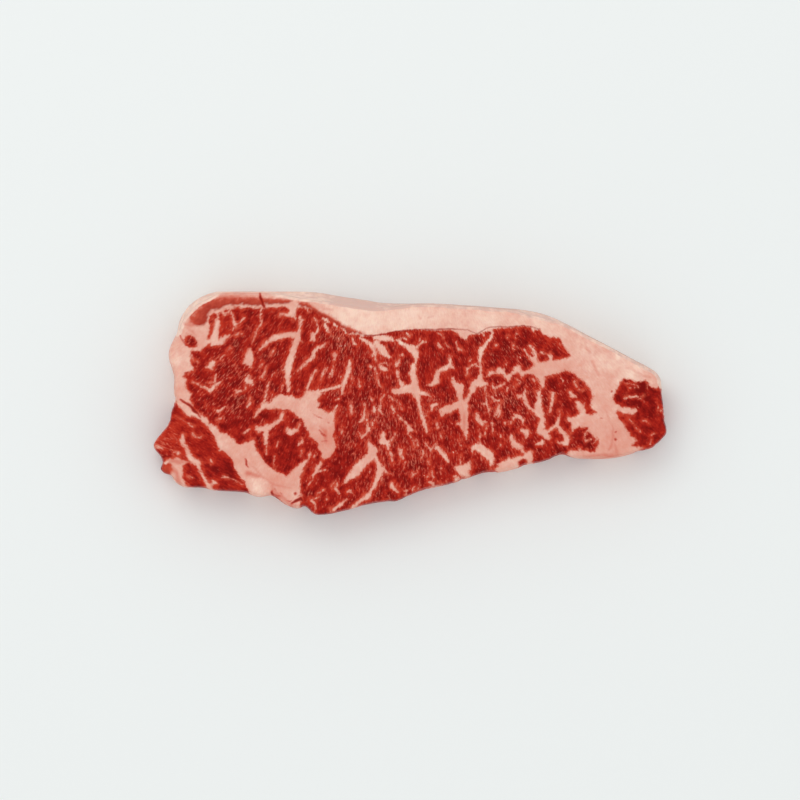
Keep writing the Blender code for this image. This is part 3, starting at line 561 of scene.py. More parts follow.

# Cuts, pits and blood marks: blood stains the lean bright red round each, and its core is darker than the
# lean, painted shade in the cuts and pits and dark blood in the blood marks.
STAINS_AND_SHADED_CUTS = [
    [(-102.3, 1.2, 0.5), (-98.8, -0.9, 0.6), (-95.8, -4, 0.6), (-93.4, -6.4, 0.3)],
    [(-66.9, 48.6, 0.4), (-66.7, 47, 0.7), (-66.1, 45.2, 0.7), (-65.2, 42.7, 0.5)],
    [(-73.6, -25.3, 0.35), (-73, -27.6, 0.4), (-72, -29, 0.2)],
    [(-83.2, -22.4, 0.25), (-80.4, -24.8, 0.3), (-79.2, -27, 0.25)],
    [(-52.6, -44.6, 0.5), (-50.8, -43.8, 0.7), (-48.9, -43, 0.7), (-47.5, -44.5, 0.4)],
    [(-40.6, -12.3, 0.1), (-39.6, -13.6, 0.25), (-38.5, -14.6, 0.3), (-37.9, -15, 0.1)],
    [(-39.3, -17.3, 0.15), (-38.6, -17.2, 0.1), (-36.7, -17.1, 0)],
    [(-44.4, -3.3, 0), (-44.2, -3.5, 0.1)],
    [(-43.2, -5, 0), (-41.2, -6.4, 0.1), (-39, -7.2, 0)],
    [(-36.5, -9, 0.1), (-36, -9.1, 0.1)],
    [(12, -21.5, 0.1), (12.5, -23, 0.2)],
    [(20, -29.4, 0.2), (21.2, -31.6, 0.2), (22, -32.6, 0.1)],
    [(-13, -43.7, 0.2), (-9.5, -43, 0.2)],
    [(85, -7, 0), (85.8, -7.1, 0.1)],
    [(-61.7, -39.8, 0.5), (-61.2, -40.6, 0.5), (-57.4, -43.4, 0.05), (-55.9, -44.8, 0.1)],
    [(-57.8, -40.3, 0.05), (-57.2, -41, 0.1)],
    [(-51.4, -40.5, 0.5), (-51.2, -40.8, 0.4)],
    [(-60.6, -38.3, 0.1), (-59.6, -39.4, -0.1)],
    [(-59.3, -41.6, 0.1), (-58, -41.9, 0)],
    [(-55, -43.5, 0), (-53.8, -43.9, 0.2), (-52.9, -43.3, -0.1)],
    [(-50.2, -42, -0.1), (-49, -41.4, 0.1)],
    [(-54.3, -45.6, 0.1), (-51.5, -46.2, 0.1)],
    [(90, 5, 0.3), (90.2, 5, 0.3)],
    [(91.7, -13.2, 0.3), (91.9, -13.3, 0.3)],
    [(91.8, -16.4, 0.4), (92, -16.7, 0.4)],
    [(103.2, -20.9, 0.4), (103.5, -20.7, 0.3)],
    [(-102.5, 29.5, 0.2), (-101.5, 27.5, 0.25), (-100, 25.8, 0.3), (-98, 24.9, 0.3), (-95, 25.2, 0.25)],
]

# Fat tinted by lean or blood close under it.
SALMON = [
    [(-109.3, -29.8, 2.2), (-106.6, -29.6, 1.6), (-104.6, -31, 1.1), (-103, -36, 1)],
    [(-106.5, -26, 0.8), (-103, -26.8, 1.2), (-100.5, -26.6, 0.8)],
    [(-72.5, -31.5, 1.4), (-69, -32.5, 1.1), (-66.6, -33, 0.5)],
    [
        (-72, -27.1, 0.1), (-69.1, -29.3, 0.2), (-66.6, -32.5, 0.4), (-63.2, -34.8, 0.3),
        (-60.3, -36.9, 0.35), (-53, -38.1, 0.2),
    ],
    [
        (-61.5, -36.5, 0.3), (-61.3, -39, 0.5), (-58.5, -41.3, 0.9), (-56.5, -42.6, 0.6),
        (-53.5, -45, 0.5), (-51, -45.6, 0.3),
    ],
    [(-100.5, 35.2, 0.5), (-98, 34.3, 0.7), (-95, 34.6, 0.4)],
    [(-99.3, 33.2, 0.2), (-97, 31.5, 0.5), (-95.8, 30.2, 0.2)],
    [(-99.8, 31, 0.2), (-98.3, 29.8, 0.4)],
    [(-96, 46.3, 0.1), (-89, 48, 0.7), (-80, 48.7, 0.9), (-62, 48.8, 0.9), (-50, 48.6, 0.4)],
    [(-88, 38.5, 0.5), (-87.6, 35, 0.5), (-88.6, 31, 0.45), (-89.8, 28.3, 0.3)],
    [(-40, -10.5, 0.4), (-38, -13, 0.9), (-37.6, -17.8, 0.5)],
    [(-16, 24.5, 0.5), (-14.5, 21, 0.5)],
    [(24.2, -4.5, 0.4), (24, -9, 0.7), (24.3, -12.5, 0.5)],
    [(-112.5, -16, 0.5), (-110.5, -18.2, 0.5)],
    [(90.3, -13, 0.3), (91, -15.5, 0.3)],
    [(89.8, -9.5, 0), (90.6, -12, 0.25), (90.4, -17, 0.3), (90, -19.5, 0.4), (88.8, -21, 0.3)],
    [(87, -2.5, 0), (88.5, -6.5, 0.2), (89.2, -9, 0)],
    [(91.5, -19, 0.25), (92.3, -22, 0.3), (93.3, -23.5, 0.4)],
    [(77.5, -23.9, 0.3), (86, -23.2, 0.7), (93, -24, 0.9)],
    [(-39, 41.7, 0.2), (-34.5, 41.6, 0.2)],
    [(3.8, 38.8, 0.2), (4.8, 37.6, 0.2)],
    [(8, 38, 0.2), (10.5, 38.6, 0.2)],
    [(78.3, 24.8, 0.4), (80.3, 22.3, 0.4)],
    [(81, 18.5, 0.3), (82, 16.8, 0.4), (84, 12.5, 0.4)],
    [(96.5, 15.5, 0.3), (98.5, 15, 0.4), (101, 13.5, 0.3), (107, 11, 0.3)],
]

# Round spots of the plan, each x, y and radius in millimetres, and a strength. Here the lean is brighter,
# or with a negative strength darker, than the rest.
TONES = [
    (-84, 33, 4, 1.3), (-75, 5, 9, -0.3), (-90, -21, 7, 0.9), (-82, -33.5, 6, -0.6), (-108.5, -19, 4, 0.8),
    (-6, -10, 6, -0.6), (78, -16.5, 6, -1.1), (103, 4, 8, -1.4), (107, -12, 7, -0.4), (10, 23, 9, -0.3),
    (-44, 12, 7, 0.3), (-32, -12, 5, 0.6), (5, 13, 5, 0.4), (21, -25, 6, 0.4), (-57, 33, 7, 0.3),
    (-106, -13, 9, 1), (-98, 27.5, 3.2, -1), (-54, -19, 8, -0.5), (66, 5, 8, -0.3), (46, 24, 9, -0.2),
    (44, -2, 13, -0.3), (112, -8, 5, 0.5),
]
# How dense the finest flecks are, from 0 to 1: everywhere, and what spots add to it or take away.
FLECK_BASE = 0.5
FLECK_SPOTS = [
    (-80, 0, 14, 0.3), (-42, 15, 10, -0.4), (0, -18, 24, 0.3), (44, -2, 14, 0.4), (-27, -17, 6, 0.5),
    (-32, 26, 9, 0.5), (-77, 22, 9, 0.3), (-62, 18, 7, 0.2), (-98, 27, 3, 0.4), (-20, 5, 18, 0.2),
    (-86, -28, 20, -0.5), (-103, -8, 7, -0.5), (-108, -18, 7, 0.5), (-36, -40, 10, -0.3),
    (-54, -19, 9, -0.4), (104, -3, 16, -0.8), (8, 24, 9, -0.2),
]
# Where the fat is paler, or with a negative strength warmer, than the rest.
PALE_SPOTS = [
    (-26, 40.5, 13, 0.9), (0, 36, 17, 0.6), (36, 36, 14, 0.5), (62, 30, 12, 0.4), (78, 24, 8, 0.1),
    (100, 13.5, 9, 0.5), (93, 20.5, 1.3, 0.8), (-102, 19, 8, 0.15), (83, 17, 8, 0.3), (-54, 0, 8, -0.3),
    (-67, -37, 4, 0.8), (-60, -37, 7, -0.7), (-38, -17, 7, -0.9), (-78, -20, 12, -0.1), (-97, 33, 5, -0.2),
    (89, -17, 9, -0.6), (23, -2, 9, -0.5), (62, 14, 9, -0.5), (86, 2, 6, -0.15),
]

# The outside of the cap runs along this line, from the thick end's shoulder to the narrow end.
CAP_LEFT = (-104.0, 31.0)
CAP_RIGHT = (112.0, 8.0)


def linear(hex_colour):
    """An sRGB colour written as #rrggbb, as linear red, green, blue and a full alpha."""
    shares = [int(hex_colour[place : place + 2], 16) / 255 for place in (1, 3, 5)]
    return tuple(s / 12.92 if s <= 0.04045 else ((s + 0.055) / 1.055) ** 2.4 for s in shares) + (1.0,)


def colour_property(name, description, hex_colour):
    colour = linear(hex_colour)
    return bpy.props.FloatVectorProperty(
        name=name, description=description, subtype="COLOR", size=4, min=0.0, max=1.0, default=colour
    )


def length_property(name, description, millimetres):
    return bpy.props.FloatProperty(
        name=name, description=description, unit="LENGTH", precision=5, min=0.0, default=millimetres * MM
    )


class SteakSurface(bpy.types.PropertyGroup):
    """Sizes of the relief that cutting and hanging leave on the meat."""

    voxel: length_property("Voxel", "Face size of the copy before its upper side is divided once more", 1.05)
    lean_sink: length_property("Lean sink", "How far lean draws back below the fat beside it", 0.3)
    fibre_depth: length_property("Fibre depth", "Height of the cut fibre bundles in the lean", 0.22)
    fat_wave: length_property("Fat wave", "Height of the soft waves in the fat", 0.16)
    edge_wander: length_property("Edge wander", "How far a seam's edge wanders from its drawn line", 0.5)
    drift: length_property("Drift", "How far the seams move sideways on their way to the underside", 6.0)


class SteakColours(bpy.types.PropertyGroup):
    """Colours of the meat, as they look in soft light."""

    lean: colour_property("Lean", "Muscle that has darkened a little in the air", "#a11a10")
    lean_dark: colour_property("Dark lean", "Lean where its fibres lie deepest", "#7a0805")
    lean_bright: colour_property("Bright lean", "Lean beside fat, which lights it up", "#c0321e")
    grain: colour_property("Grain", "Crumbs of fat and frayed fibre ends in the lean", "#da765f")
    blush: colour_property("Blush", "The last of the lean, seen through the thinnest fat", "#cc5039")
    fat_salmon: colour_property("Salmon fat", "Thin fat, or fat with blood close under it", "#dd8a76")
    fat: colour_property("Fat", "Firm fat", "#e7ad9b")
    fat_pale: colour_property("Pale fat", "The thickest part of the cap", "#f8d5c2")
    band: colour_property("Band", "The thin muscle under the cap, cut across", "#c6503c")
    band_dark: colour_property("Dark band", "The foot of the thin muscle", "#aa3829")
    skin: colour_property("Skin", "The dry membrane on the outside of the cap", "#dcb5a8")
    skin_dark: colour_property("Dark skin", "The membrane where it hangs down the side", "#cba294")


class SteakStage(bpy.types.PropertyGroup):
    """The floor, the light and the camera above."""

    floor: colour_property("Floor", "A plain pale floor", "#eef2f1")
    sky_strength: bpy.props.FloatProperty(
        name="Sky strength", description="Even light from all round", min=0.0, default=0.9
    )
    key_power: bpy.props.FloatProperty(
        name="Key power",
        description="Large soft light above and behind the steak",
        unit="POWER",
        min=0.0,
        default=4.0,
    )
    key_size: length_property("Key size", "Width of the soft light", 900.0)
    lens: bpy.props.FloatProperty(
        name="Lens",
        description="Focal length of the camera",
        subtype="DISTANCE_CAMERA",
        min=10.0,
        default=400.0,
    )
    view_width: length_property("View width", "Width that the picture covers at the view level", 357.6)


# The height in mm at which the picture covers the view width.
VIEW_LEVEL = 18.0
# Where the middle of the picture falls in the plan, and how far the plan lies from the frame in Y.
VIEW_MIDDLE = (-4.47, 1.41)
PLAN_SHIFT = 0.29
# The fibre bundles fan out from this point behind the cap.
FAN_CENTRE = (-4.5, 113.0)
FAN_RADIUS = 110.0
THICKNESS = CAD_BOX[1][2] / MM


def outline_depth(places, outline):
    """How far each place lies inside a closed outline in mm, negative outside."""
    ends = np.asarray(outline, float)
    nearest = np.full(len(places), np.inf)
    within = np.zeros(len(places), bool)
    x, y = places.T
    for start, end in zip(ends, np.roll(ends, -1, axis=0)):
        leg = end - start
        reach = places - start
        share = np.clip(reach @ leg / (leg @ leg), 0.0, 1.0)
        nearest = np.minimum(nearest, np.hypot(*(reach - share[:, None] * leg).T))
        if start[1] != end[1]:
            crosses = (start[1] > y) != (end[1] > y)
            within ^= crosses & (x < start[0] + leg[0] * (y - start[1]) / leg[1])
    return np.where(within, nearest, -nearest)


# A streak is looked for only this near its own points, in mm.
STREAK_REACH = 5.0
# The depth in mm of a place with no streak near it.
FAR_OUTSIDE = -50.0


def streak_depth(places, streaks):
    """How far each place lies inside the nearest tapering streak in mm, negative outside."""
    deepest = np.full(len(places), FAR_OUTSIDE)
    for streak in streaks:
        points = np.asarray(streak, float)
        low = points[:, :2].min(axis=0) - STREAK_REACH
        high = points[:, :2].max(axis=0) + STREAK_REACH
        near = np.flatnonzero(((places > low) & (places < high)).all(axis=1))
        here = places[near]
        best = deepest[near]
        for start, end in zip(points, points[1:]):
            leg = end[:2] - start[:2]
            reach = here - start[:2]
            share = np.clip(reach @ leg / (leg @ leg), 0.0, 1.0)
            half_width = start[2] + share * (end[2] - start[2])
            best = np.maximum(best, half_width - np.hypot(*(reach - share[:, None] * leg).T))
        deepest[near] = best
    return deepest


def fat_depth(places):
    """How deep each place of the plan lies in fat in mm, negative in lean."""
    fat = -np.max([outline_depth(places, outline) for outline in MUSCLES.values()], axis=0)
    for outline in MASSES:
        fat = np.maximum(fat, outline_depth(places, outline))
    for outline in ISLANDS:
        fat = np.minimum(fat, -outline_depth(places, outline))
    return np.maximum(fat, streak_depth(places, STREAKS))


def pools(places, spots):
    """The sum of soft round spots, each given as x, y, radius in mm and strength."""
    total = np.zeros(len(places))
    for x, y, radius, strength in spots:
        gap = np.hypot(places[:, 0] - x, places[:, 1] - y) / radius
        total += strength * np.exp(-(gap**2))
    return total


def smooth_step(value, low, high):
    share = np.clip((value - low) / (high - low), 0.0, 1.0)
    return share * share * (3.0 - 2.0 * share)


# Each seed looks at the noise this far from the last one.
SEED_STEP = (17.3, 5.9, 11.1)
# Two octaves, the second twice as fine as the first and half as strong.
FALL_OFF = 1.0
REFINEMENT = 2.0
OCTAVES = 2


def wander(points, cell, seed):
    """Smooth noise between about -1 and 1 over points in mm, with the given size of its cells."""
    origin = Vector([seed * step for step in SEED_STEP])
    places = (Vector(point) / cell + origin for point in points)
    return np.array([noise.fractal(place, FALL_OFF, REFINEMENT, OCTAVES) for place in places])


# Corners this close in mm are one.
MERGE_REACH = 0.001


def merged_copy(name):
    """The node's solid as a new mesh, with its loose triangles merged."""
    made = bmesh.new()
    made.from_mesh(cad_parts[name].data)
    bmesh.ops.remove_doubles(made, verts=made.verts, dist=MERGE_REACH * MM)
    mesh = bpy.data.meshes.new("meat")
    made.to_mesh(mesh)
    made.free()
    return mesh


def remeshed(mesh, voxel):
    """The mesh in even faces of the voxel's size."""
    helper = bpy.data.objects.new("remesh_helper", mesh)
    bpy.context.scene.collection.objects.link(helper)
    remesh = helper.modifiers.new("even_faces", "REMESH")
    remesh.mode = "VOXEL"
    remesh.voxel_size = voxel
    graph = bpy.context.evaluated_depsgraph_get()
    even = bpy.data.meshes.new_from_object(helper.evaluated_get(graph))
    bpy.data.objects.remove(helper)
    return even


# A face belongs to the upper side if its normal rises above this.
UP = 0.5
SMOOTHING_ROUNDS = 3
SMOOTHING = {"factor": 0.5, "use_axis_x": True, "use_axis_y": True, "use_axis_z": True}


def finer_upper_side(mesh):
    """Smooths the even faces, and divides those of the upper side once more."""
    made = bmesh.new()
    made.from_mesh(mesh)
    for _ in range(SMOOTHING_ROUNDS):
        bmesh.ops.smooth_vert(made, verts=made.verts, **SMOOTHING)
    made.normal_update()
    upper = [face for face in made.faces if face.normal.z > UP]
    edges = list({edge for face in upper for edge in face.edges})
    bmesh.ops.subdivide_edges(made, edges=edges, cuts=1, use_grid_fill=True)
    made.normal_update()
    corners = [vert for vert in made.verts if vert.normal.z > UP]
    bmesh.ops.smooth_vert(made, verts=corners, **SMOOTHING)
    made.to_mesh(mesh)
    made.free()


def read_points(mesh):
    points = np.empty(len(mesh.vertices) * 3, np.float32)
    mesh.vertices.foreach_get("co", points)
    return points.reshape(-1, 3).astype(float) / MM


def read_normals(mesh):
    normals = np.empty(len(mesh.vertices) * 3, np.float32)
    mesh.vertex_normals.foreach_get("vector", normals)
    return normals.reshape(-1, 3).astype(float)


def store(mesh, name, values):
    """Keeps one number, or one vector, for each point under the given name."""
    kind, field = ("FLOAT", "value") if values.ndim == 1 else ("FLOAT_VECTOR", "vector")
    attribute = mesh.attributes.new(name, kind, "POINT")
    attribute.data.foreach_set(field, values.astype(np.float32).ravel())


def fibre_places(points, plan):
    """Each point's place across and along the fibre bundles, and down through the steak, in mm."""
    across = points[:, 0] - FAN_CENTRE[0]
    away = FAN_CENTRE[1] - points[:, 1]
    fan = np.stack([np.arctan2(across, away) * FAN_RADIUS, np.hypot(across, away)], axis=1)
    x, y = FLAP_GRAIN
    flap = points[:, :2] @ np.array([(-y, x), (x, y)])
    in_flap = outline_depth(plan, MUSCLES["flap"]) > -FLAP_MARGIN
    return np.column_stack([np.where(in_flap[:, None], flap, fan), points[:, 2]])


# The skin sets in over this way in mm, across the line from CAP_LEFT to CAP_RIGHT.
SKIN_START = (-3.0, 2.0)


def skin_share(points, normals):
    """1 on the outside of the cap where it hangs straight down, less on a slope, and 0 on the cut faces."""
    along = (points[:, 0] - CAP_LEFT[0]) / (CAP_RIGHT[0] - CAP_LEFT[0])
    line = CAP_LEFT[1] + along * (CAP_RIGHT[1] - CAP_LEFT[1])
    slope = 1.0 - np.abs(normals[:, 2])
    return slope * smooth_step(points[:, 1] - line, *SKIN_START)


def band_places(places):
    """How deep each place lies in the thin muscle in mm, and its way from the foot (0) to the top (1)."""
    depth = np.full(len(places), FAR_OUTSIDE)
    share = np.zeros(len(places))
    for top, foot in BANDS:
        here = outline_depth(places, top + foot[::-1])
        to_top, to_foot = (-streak_depth(places, [[(x, y, 0.0) for x, y in edge]]) for edge in (top, foot))
        share = np.where(here > depth, to_foot / (to_foot + to_top), share)
        depth = np.maximum(depth, here)
    return depth, share


# A bundle of fibres is about this wide in mm. It is longer than wide where the cut runs slightly along
# it, and longest downwards.
BUNDLE_CELL = 1.1
BUNDLE_SEED = 9
BUNDLE_STRETCH = (1.0, 2.0, 7.0)
# The fibres of the flap run this way instead, down along it and this far in mm past its outline.
FLAP_GRAIN = (0.85, -0.53)
FLAP_MARGIN = 1.0
# Noise above the threshold is a fleck of fat, and what is above it, times the steepness, its depth in
# mm. Where flecks are dense the threshold is lower.
FLECK_STEEPNESS = 18.0
FLECK_RARE = 0.887
FLECK_DENSE = 0.762
# How far the broad patches of darker and brighter lean move along its colours.
TONE_STRENGTH = 0.12
# Below this share of the thickness the marbling drifts sideways, in waves of this size in mm. They are
# drawn out downwards.
DRIFT_START = 0.08
DRIFT_CELL = 60.0
DRIFT_SQUASH = (1.0, 1.0, 0.3)
DRIFT_SEEDS = (1, 2)
# A seam's edge is ragged in fine and in wide waves: their sizes in mm, their shares, and their seeds
# along X and along Y.
EDGE_CELL = 1.7
EDGE_SHARE = 0.6
WIDE_EDGE_CELL = 5.0
WIDE_EDGE_SHARE = 0.5
EDGE_SEEDS = ((3, 7), (4, 8))
# The relief goes from lean to fat over these depths in fat in mm.
LEAN_TO_FAT = (-0.5, 0.4)
# The faint swell of the fat, in waves of this size in mm.
SWELL_CELL = 6.0
SWELL_SEED = 10
# Smoothing draws the walls in, so they are moved out again by this much in mm.
WALL_RISE = 0.7


def drifted_plan(points, drift):
    """Where each point looks up the plan: straight below it near the top, and wandering off with depth."""
    depth = np.clip((THICKNESS - points[:, 2]) / THICKNESS, 0.0, 1.0)
    shift = np.stack([wander(points * DRIFT_SQUASH, DRIFT_CELL, seed) for seed in DRIFT_SEEDS], axis=1)
    share = smooth_step(depth, DRIFT_START, 1.0)[:, None]
    return points[:, :2] - (0.0, PLAN_SHIFT) + shift * (drift / MM) * share


def marble(mesh, surface):
    """Works the marbling out for each point, cuts the relief by it, and keeps it as attributes."""
    points = read_points(mesh)
    normals = read_normals(mesh)
    plan = drifted_plan(points, surface.drift)
    ragged = [
        EDGE_SHARE * wander(points, EDGE_CELL, seed)
        + WIDE_EDGE_SHARE * wander(points, WIDE_EDGE_CELL, wide_seed)
        for seed, wide_seed in EDGE_SEEDS
    ]
    ragged_plan = plan + surface.edge_wander / MM * np.stack(ragged, axis=1)
    fat = fat_depth(ragged_plan)
    band, band_share = band_places(ragged_plan)
    bundle_places = fibre_places(points, plan) / BUNDLE_STRETCH
    fleck_share = np.clip(FLECK_BASE + pools(plan, FLECK_SPOTS), 0.0, 1.0)
    threshold = FLECK_RARE + (FLECK_DENSE - FLECK_RARE) * fleck_share
    kept = {
        "fat_depth": fat,
        "band_depth": band,
        "band_share": band_share,
        "line_depth": streak_depth(ragged_plan, LINES),
        # How deep a point lies in a mark: a blood stain round it, and painted shade in the cuts and pits.
        "mark_depth": streak_depth(ragged_plan, STAINS_AND_SHADED_CUTS),
        "skin": skin_share(points, normals),
        "salmon_depth": streak_depth(ragged_plan, SALMON),
        "fleck_offset": -FLECK_STEEPNESS * threshold,
        "tone": TONE_STRENGTH * pools(plan, TONES) * np.clip(normals[:, 2], 0.0, 1.0),
        "pale": np.clip(pools(plan, PALE_SPOTS), -1.0, 1.0),
        "bundle_place": bundle_places,
    }

    leanness = 1.0 - smooth_step(fat, *LEAN_TO_FAT)
    bundles = wander(bundle_places, BUNDLE_CELL, BUNDLE_SEED)
    swell = wander(points, SWELL_CELL, SWELL_SEED)
    sink = leanness * (surface.lean_sink + surface.fibre_depth * (0.5 + 0.5 * bundles)) / MM
    sink += (1.0 - leanness) * surface.fat_wave / MM * (0.5 + 0.5 * swell)
    sink -= WALL_RISE * (1.0 - np.abs(normals[:, 2]))
    moved = points - normals * sink[:, None]
    low, high = (np.array(corner) / MM for corner in CAD_BOX)
    moved = np.clip(moved, low, high)
    mesh.vertices.foreach_set("co", (moved * MM).astype(np.float32).ravel())
    mesh.update()
    for name, values in kept.items():
        store(mesh, name, values)


def add_node(tree, kind, sockets=None, output=0, stops=(), **settings):
    """Adds one node, and returns the output asked for, by name or by its place among those in use.

    The settings are the node's own. Each socket, by name or index, gets a value or a link, and a
    colour ramp gets its stops, each a position and a colour.
    """
    node = tree.nodes.new(kind)
    for name, value in settings.items():
        setattr(node, name, value)
    for name, value in (sockets or {}).items():
        usable = [socket for socket in node.inputs if socket.enabled]
        socket = usable[name] if isinstance(name, int) else next(s for s in usable if s.name == name)
        if isinstance(value, bpy.types.NodeSocket):
            tree.links.new(value, socket)
        else:
            socket.default_value = value
    for number, (position, colour) in enumerate(stops):
        elements = node.color_ramp.elements
        element = elements[number] if number < len(elements) else elements.new(position)
        element.position = position
        element.color = colour
    if isinstance(output, str):
        return node.outputs[output]
    return [socket for socket in node.outputs if socket.enabled][output] if node.outputs else None


# The depth in mm, below and above a seam's edge, that the colours of its rim cover.
RIM_REACH = 1.1
# How far in mm the cut bundles fray a seam's edge.
WOBBLE = 0.6
# The ends of torn threads are this much narrower and longer than the bundles.
THREAD_STRETCH = (1.15, 0.55, 1.0)


def raw_beef(colours):
    """Raw beef cut with a knife: moist lean in fine bundles, waxy fat, and a dry skin outside the cap.

    The water in the lean gives it a soft shine over a grain of about 1 mm. Fat is duller. Its edges are
    thin, so the lean shows through them in salmon and orange red, and it lights up the lean beside it.
    """
    material = bpy.data.materials.new("raw_beef")
    material.use_nodes = True
    tree = material.node_tree
    tree.nodes.clear()
    add = functools.partial(add_node, tree)

    bundle_place = add("ShaderNodeAttribute", output="Vector", attribute_name="bundle_place")
    place = add("ShaderNodeTexCoord", output="Object")
    names = "fat_depth fleck_offset tone pale salmon_depth band_depth band_share line_depth mark_depth skin"
    numbers = [add("ShaderNodeAttribute", output="Fac", attribute_name=name) for name in names.split()]
    fat_depth, fleck_offset, tone, pale, salmon_depth = numbers[:5]
    band_depth, band_share, line_depth, mark_depth, skin = numbers[5:]

    # A bundle of fibres is about 1 mm across, and the cut face is broken up more finely still. Each noise
    # has the size of its cells, its detail, its roughness and its distortion.
    threadlike = add("ShaderNodeVectorMath", {0: bundle_place, 1: THREAD_STRETCH}, operation="MULTIPLY")
    settings = ("Vector", "Scale", "Detail", "Roughness", "Distortion")
    ragged, flecks, bundles, frayed, crumbs, clouds, patches, threads = (
        add("ShaderNodeTexNoise", dict(zip(settings, (at, 1 / cell, *rest))))
        for at, cell, *rest in (
            (bundle_place, 0.9, 4.0, 0.6, 0.0),
            (bundle_place, 1.1, 3.0, 0.55, 0.0),
            (bundle_place, 2.2, 5.0, 0.68, 0.0),
            (threadlike, 0.6, 3.0, 0.6, 0.0),
            (place, 0.6 * MM, 2.0, 0.5, 0.0),
            (place, 3.5 * MM, 5.0, 0.6, 0.0),
            (place, 9.0 * MM, 2.0, 0.5, 0.0),
            (place, 7.0 * MM, 3.0, 0.5, 0.8),
        )
    )

    # How deep in fat a point lies in mm: in a drawn seam, or in one of the finest flecks.
    wobble_range = {"Value": ragged, "From Min": 0.25, "From Max": 0.75, "To Min": -WOBBLE, "To Max": WOBBLE}
    wobble = add("ShaderNodeMapRange", wobble_range, clamp=False)
    seam = add("ShaderNodeMath", {0: fat_depth, 1: wobble}, operation="ADD")
    fleck = add("ShaderNodeMath", {0: flecks, 1: FLECK_STEEPNESS, 2: fleck_offset}, operation="MULTIPLY_ADD")
    patchy_fleck = add("ShaderNodeMath", {0: patches, 1: 3.0, 2: fleck}, operation="MULTIPLY_ADD")
    fat = add("ShaderNodeMath", {0: seam, 1: patchy_fleck, 2: 0.3}, operation="SMOOTH_MAX")

    # The lean: in darker and brighter bundles, brightest beside fat, with paler crumbs in places.
    halo_range = {"Value": fat, "From Min": -1.8, "From Max": -0.1, "To Max": 0.17}
    halo = add("ShaderNodeMapRange", halo_range, interpolation_type="SMOOTHSTEP")
    toned = add("ShaderNodeMath", {0: tone, 1: halo}, operation="ADD")
    broken = add("ShaderNodeMath", {0: frayed, 1: 0.45, 2: toned}, operation="MULTIPLY_ADD")
    lit = add("ShaderNodeMath", {0: bundles, 1: broken}, operation="ADD")
    lean_stops = [(0.59, colours.lean_dark), (0.765, colours.lean), (0.97, colours.lean_bright)]
    meat = add("ShaderNodeValToRGB", {"Fac": lit}, stops=lean_stops)
    patchy_grain = add("ShaderNodeMath", {0: patches, 1: 0.2, 2: frayed}, operation="MULTIPLY_ADD")
    grainy = add("ShaderNodeMath", {0: fleck_offset, 1: 0.08, 2: patchy_grain}, operation="MULTIPLY_ADD")
    grain_range = {"Value": grainy, "From Min": -0.515, "From Max": -0.31, "To Max": 0.9}
    grain_share = add("ShaderNodeMapRange", grain_range)
    meat = add("ShaderNodeMix", {"Factor": grain_share, "A": meat, "B": colours.grain}, data_type="RGBA")
    near_range = {"Value": fat, "From Min": -1.6, "From Max": 0.1}
    near = add("ShaderNodeMapRange", near_range, interpolation_type="SMOOTHSTEP")
    veils = add("ShaderNodeMapRange", {"Value": clouds, "From Min": 0.5, "From Max": 0.64, "To Max": 0.9})
    veil = add("ShaderNodeMath", {0: near, 1: veils}, operation="MULTIPLY")
    meat = add("ShaderNodeMix", {"Factor": veil, "A": meat, "B": colours.blush}, data_type="RGBA")

    # Over it the fat, thin and salmon at its edge.
    crumbly = add("ShaderNodeMath", {0: crumbs, 1: 0.6, 2: fat}, operation="MULTIPLY_ADD")
    rim_range = {"Value": crumbly, "From Min": -RIM_REACH, "From Max": RIM_REACH}
    rim_share = add("ShaderNodeMapRange", rim_range)
    rim_stops = [(0.54, colours.blush), (0.74, colours.fat_salmon), (1.0, colours.fat)]
    rim = add("ShaderNodeValToRGB", {"Fac": rim_share}, stops=rim_stops)
    cover_range = {"Value": crumbly, "From Min": -0.25, "From Max": 0.85}
    cover = add("ShaderNodeMapRange", cover_range, interpolation_type="SMOOTHSTEP")
    meat = add("ShaderNodeMix", {"Factor": cover, "A": meat, "B": rim}, data_type="RGBA")

    # Fat is cloudy, paler deep in the cap, and salmon where blood or lean lies close under it.
    fat_range = {"Value": fat, "From Min": -0.2, "From Max": 1.0}
    fat_share = add("ShaderNodeMapRange", fat_range, interpolation_type="SMOOTHSTEP")
    waxy = add("ShaderNodeMath", {0: frayed, 1: 1.0, 2: pale}, operation="MULTIPLY_ADD")
    milky = add("ShaderNodeMath", {0: clouds, 1: 1.4, 2: waxy}, operation="MULTIPLY_ADD")
    milkier = add("ShaderNodeMath", {0: patches, 1: 1.3, 2: milky}, operation="MULTIPLY_ADD")
    pale_range = {"Value": milkier, "From Min": 1.85, "From Max": 2.8}
    paleness = add("ShaderNodeMapRange", pale_range)
    pale_share = add("ShaderNodeMath", {0: paleness, 1: fat_share}, operation="MULTIPLY", use_clamp=True)
    meat = add("ShaderNodeMix", {"Factor": pale_share, "A": meat, "B": colours.fat_pale}, data_type="RGBA")
    warm_range = {"Value": milkier, "From Min": 1.85, "From Max": 0.95, "To Max": 0.8}
    warmth = add("ShaderNodeMapRange", warm_range)
    warm_share = add("ShaderNodeMath", {0: warmth, 1: fat_share}, operation="MULTIPLY", use_clamp=True)
    meat = add("ShaderNodeMix", {"Factor": warm_share, "A": meat, "B": colours.fat_salmon}, data_type="RGBA")
    thread = add("ShaderNodeMath", {0: threads, 1: 0.5, 2: 0.012}, operation="COMPARE")
    soft_thread = add("ShaderNodeMath", {0: thread, 1: clouds}, operation="MULTIPLY")
    veined = add("ShaderNodeMath", {0: soft_thread, 1: warm_share}, operation="MULTIPLY", use_clamp=True)
    meat = add("ShaderNodeMix", {"Factor": veined, "A": meat, "B": colours.fat_salmon}, data_type="RGBA")

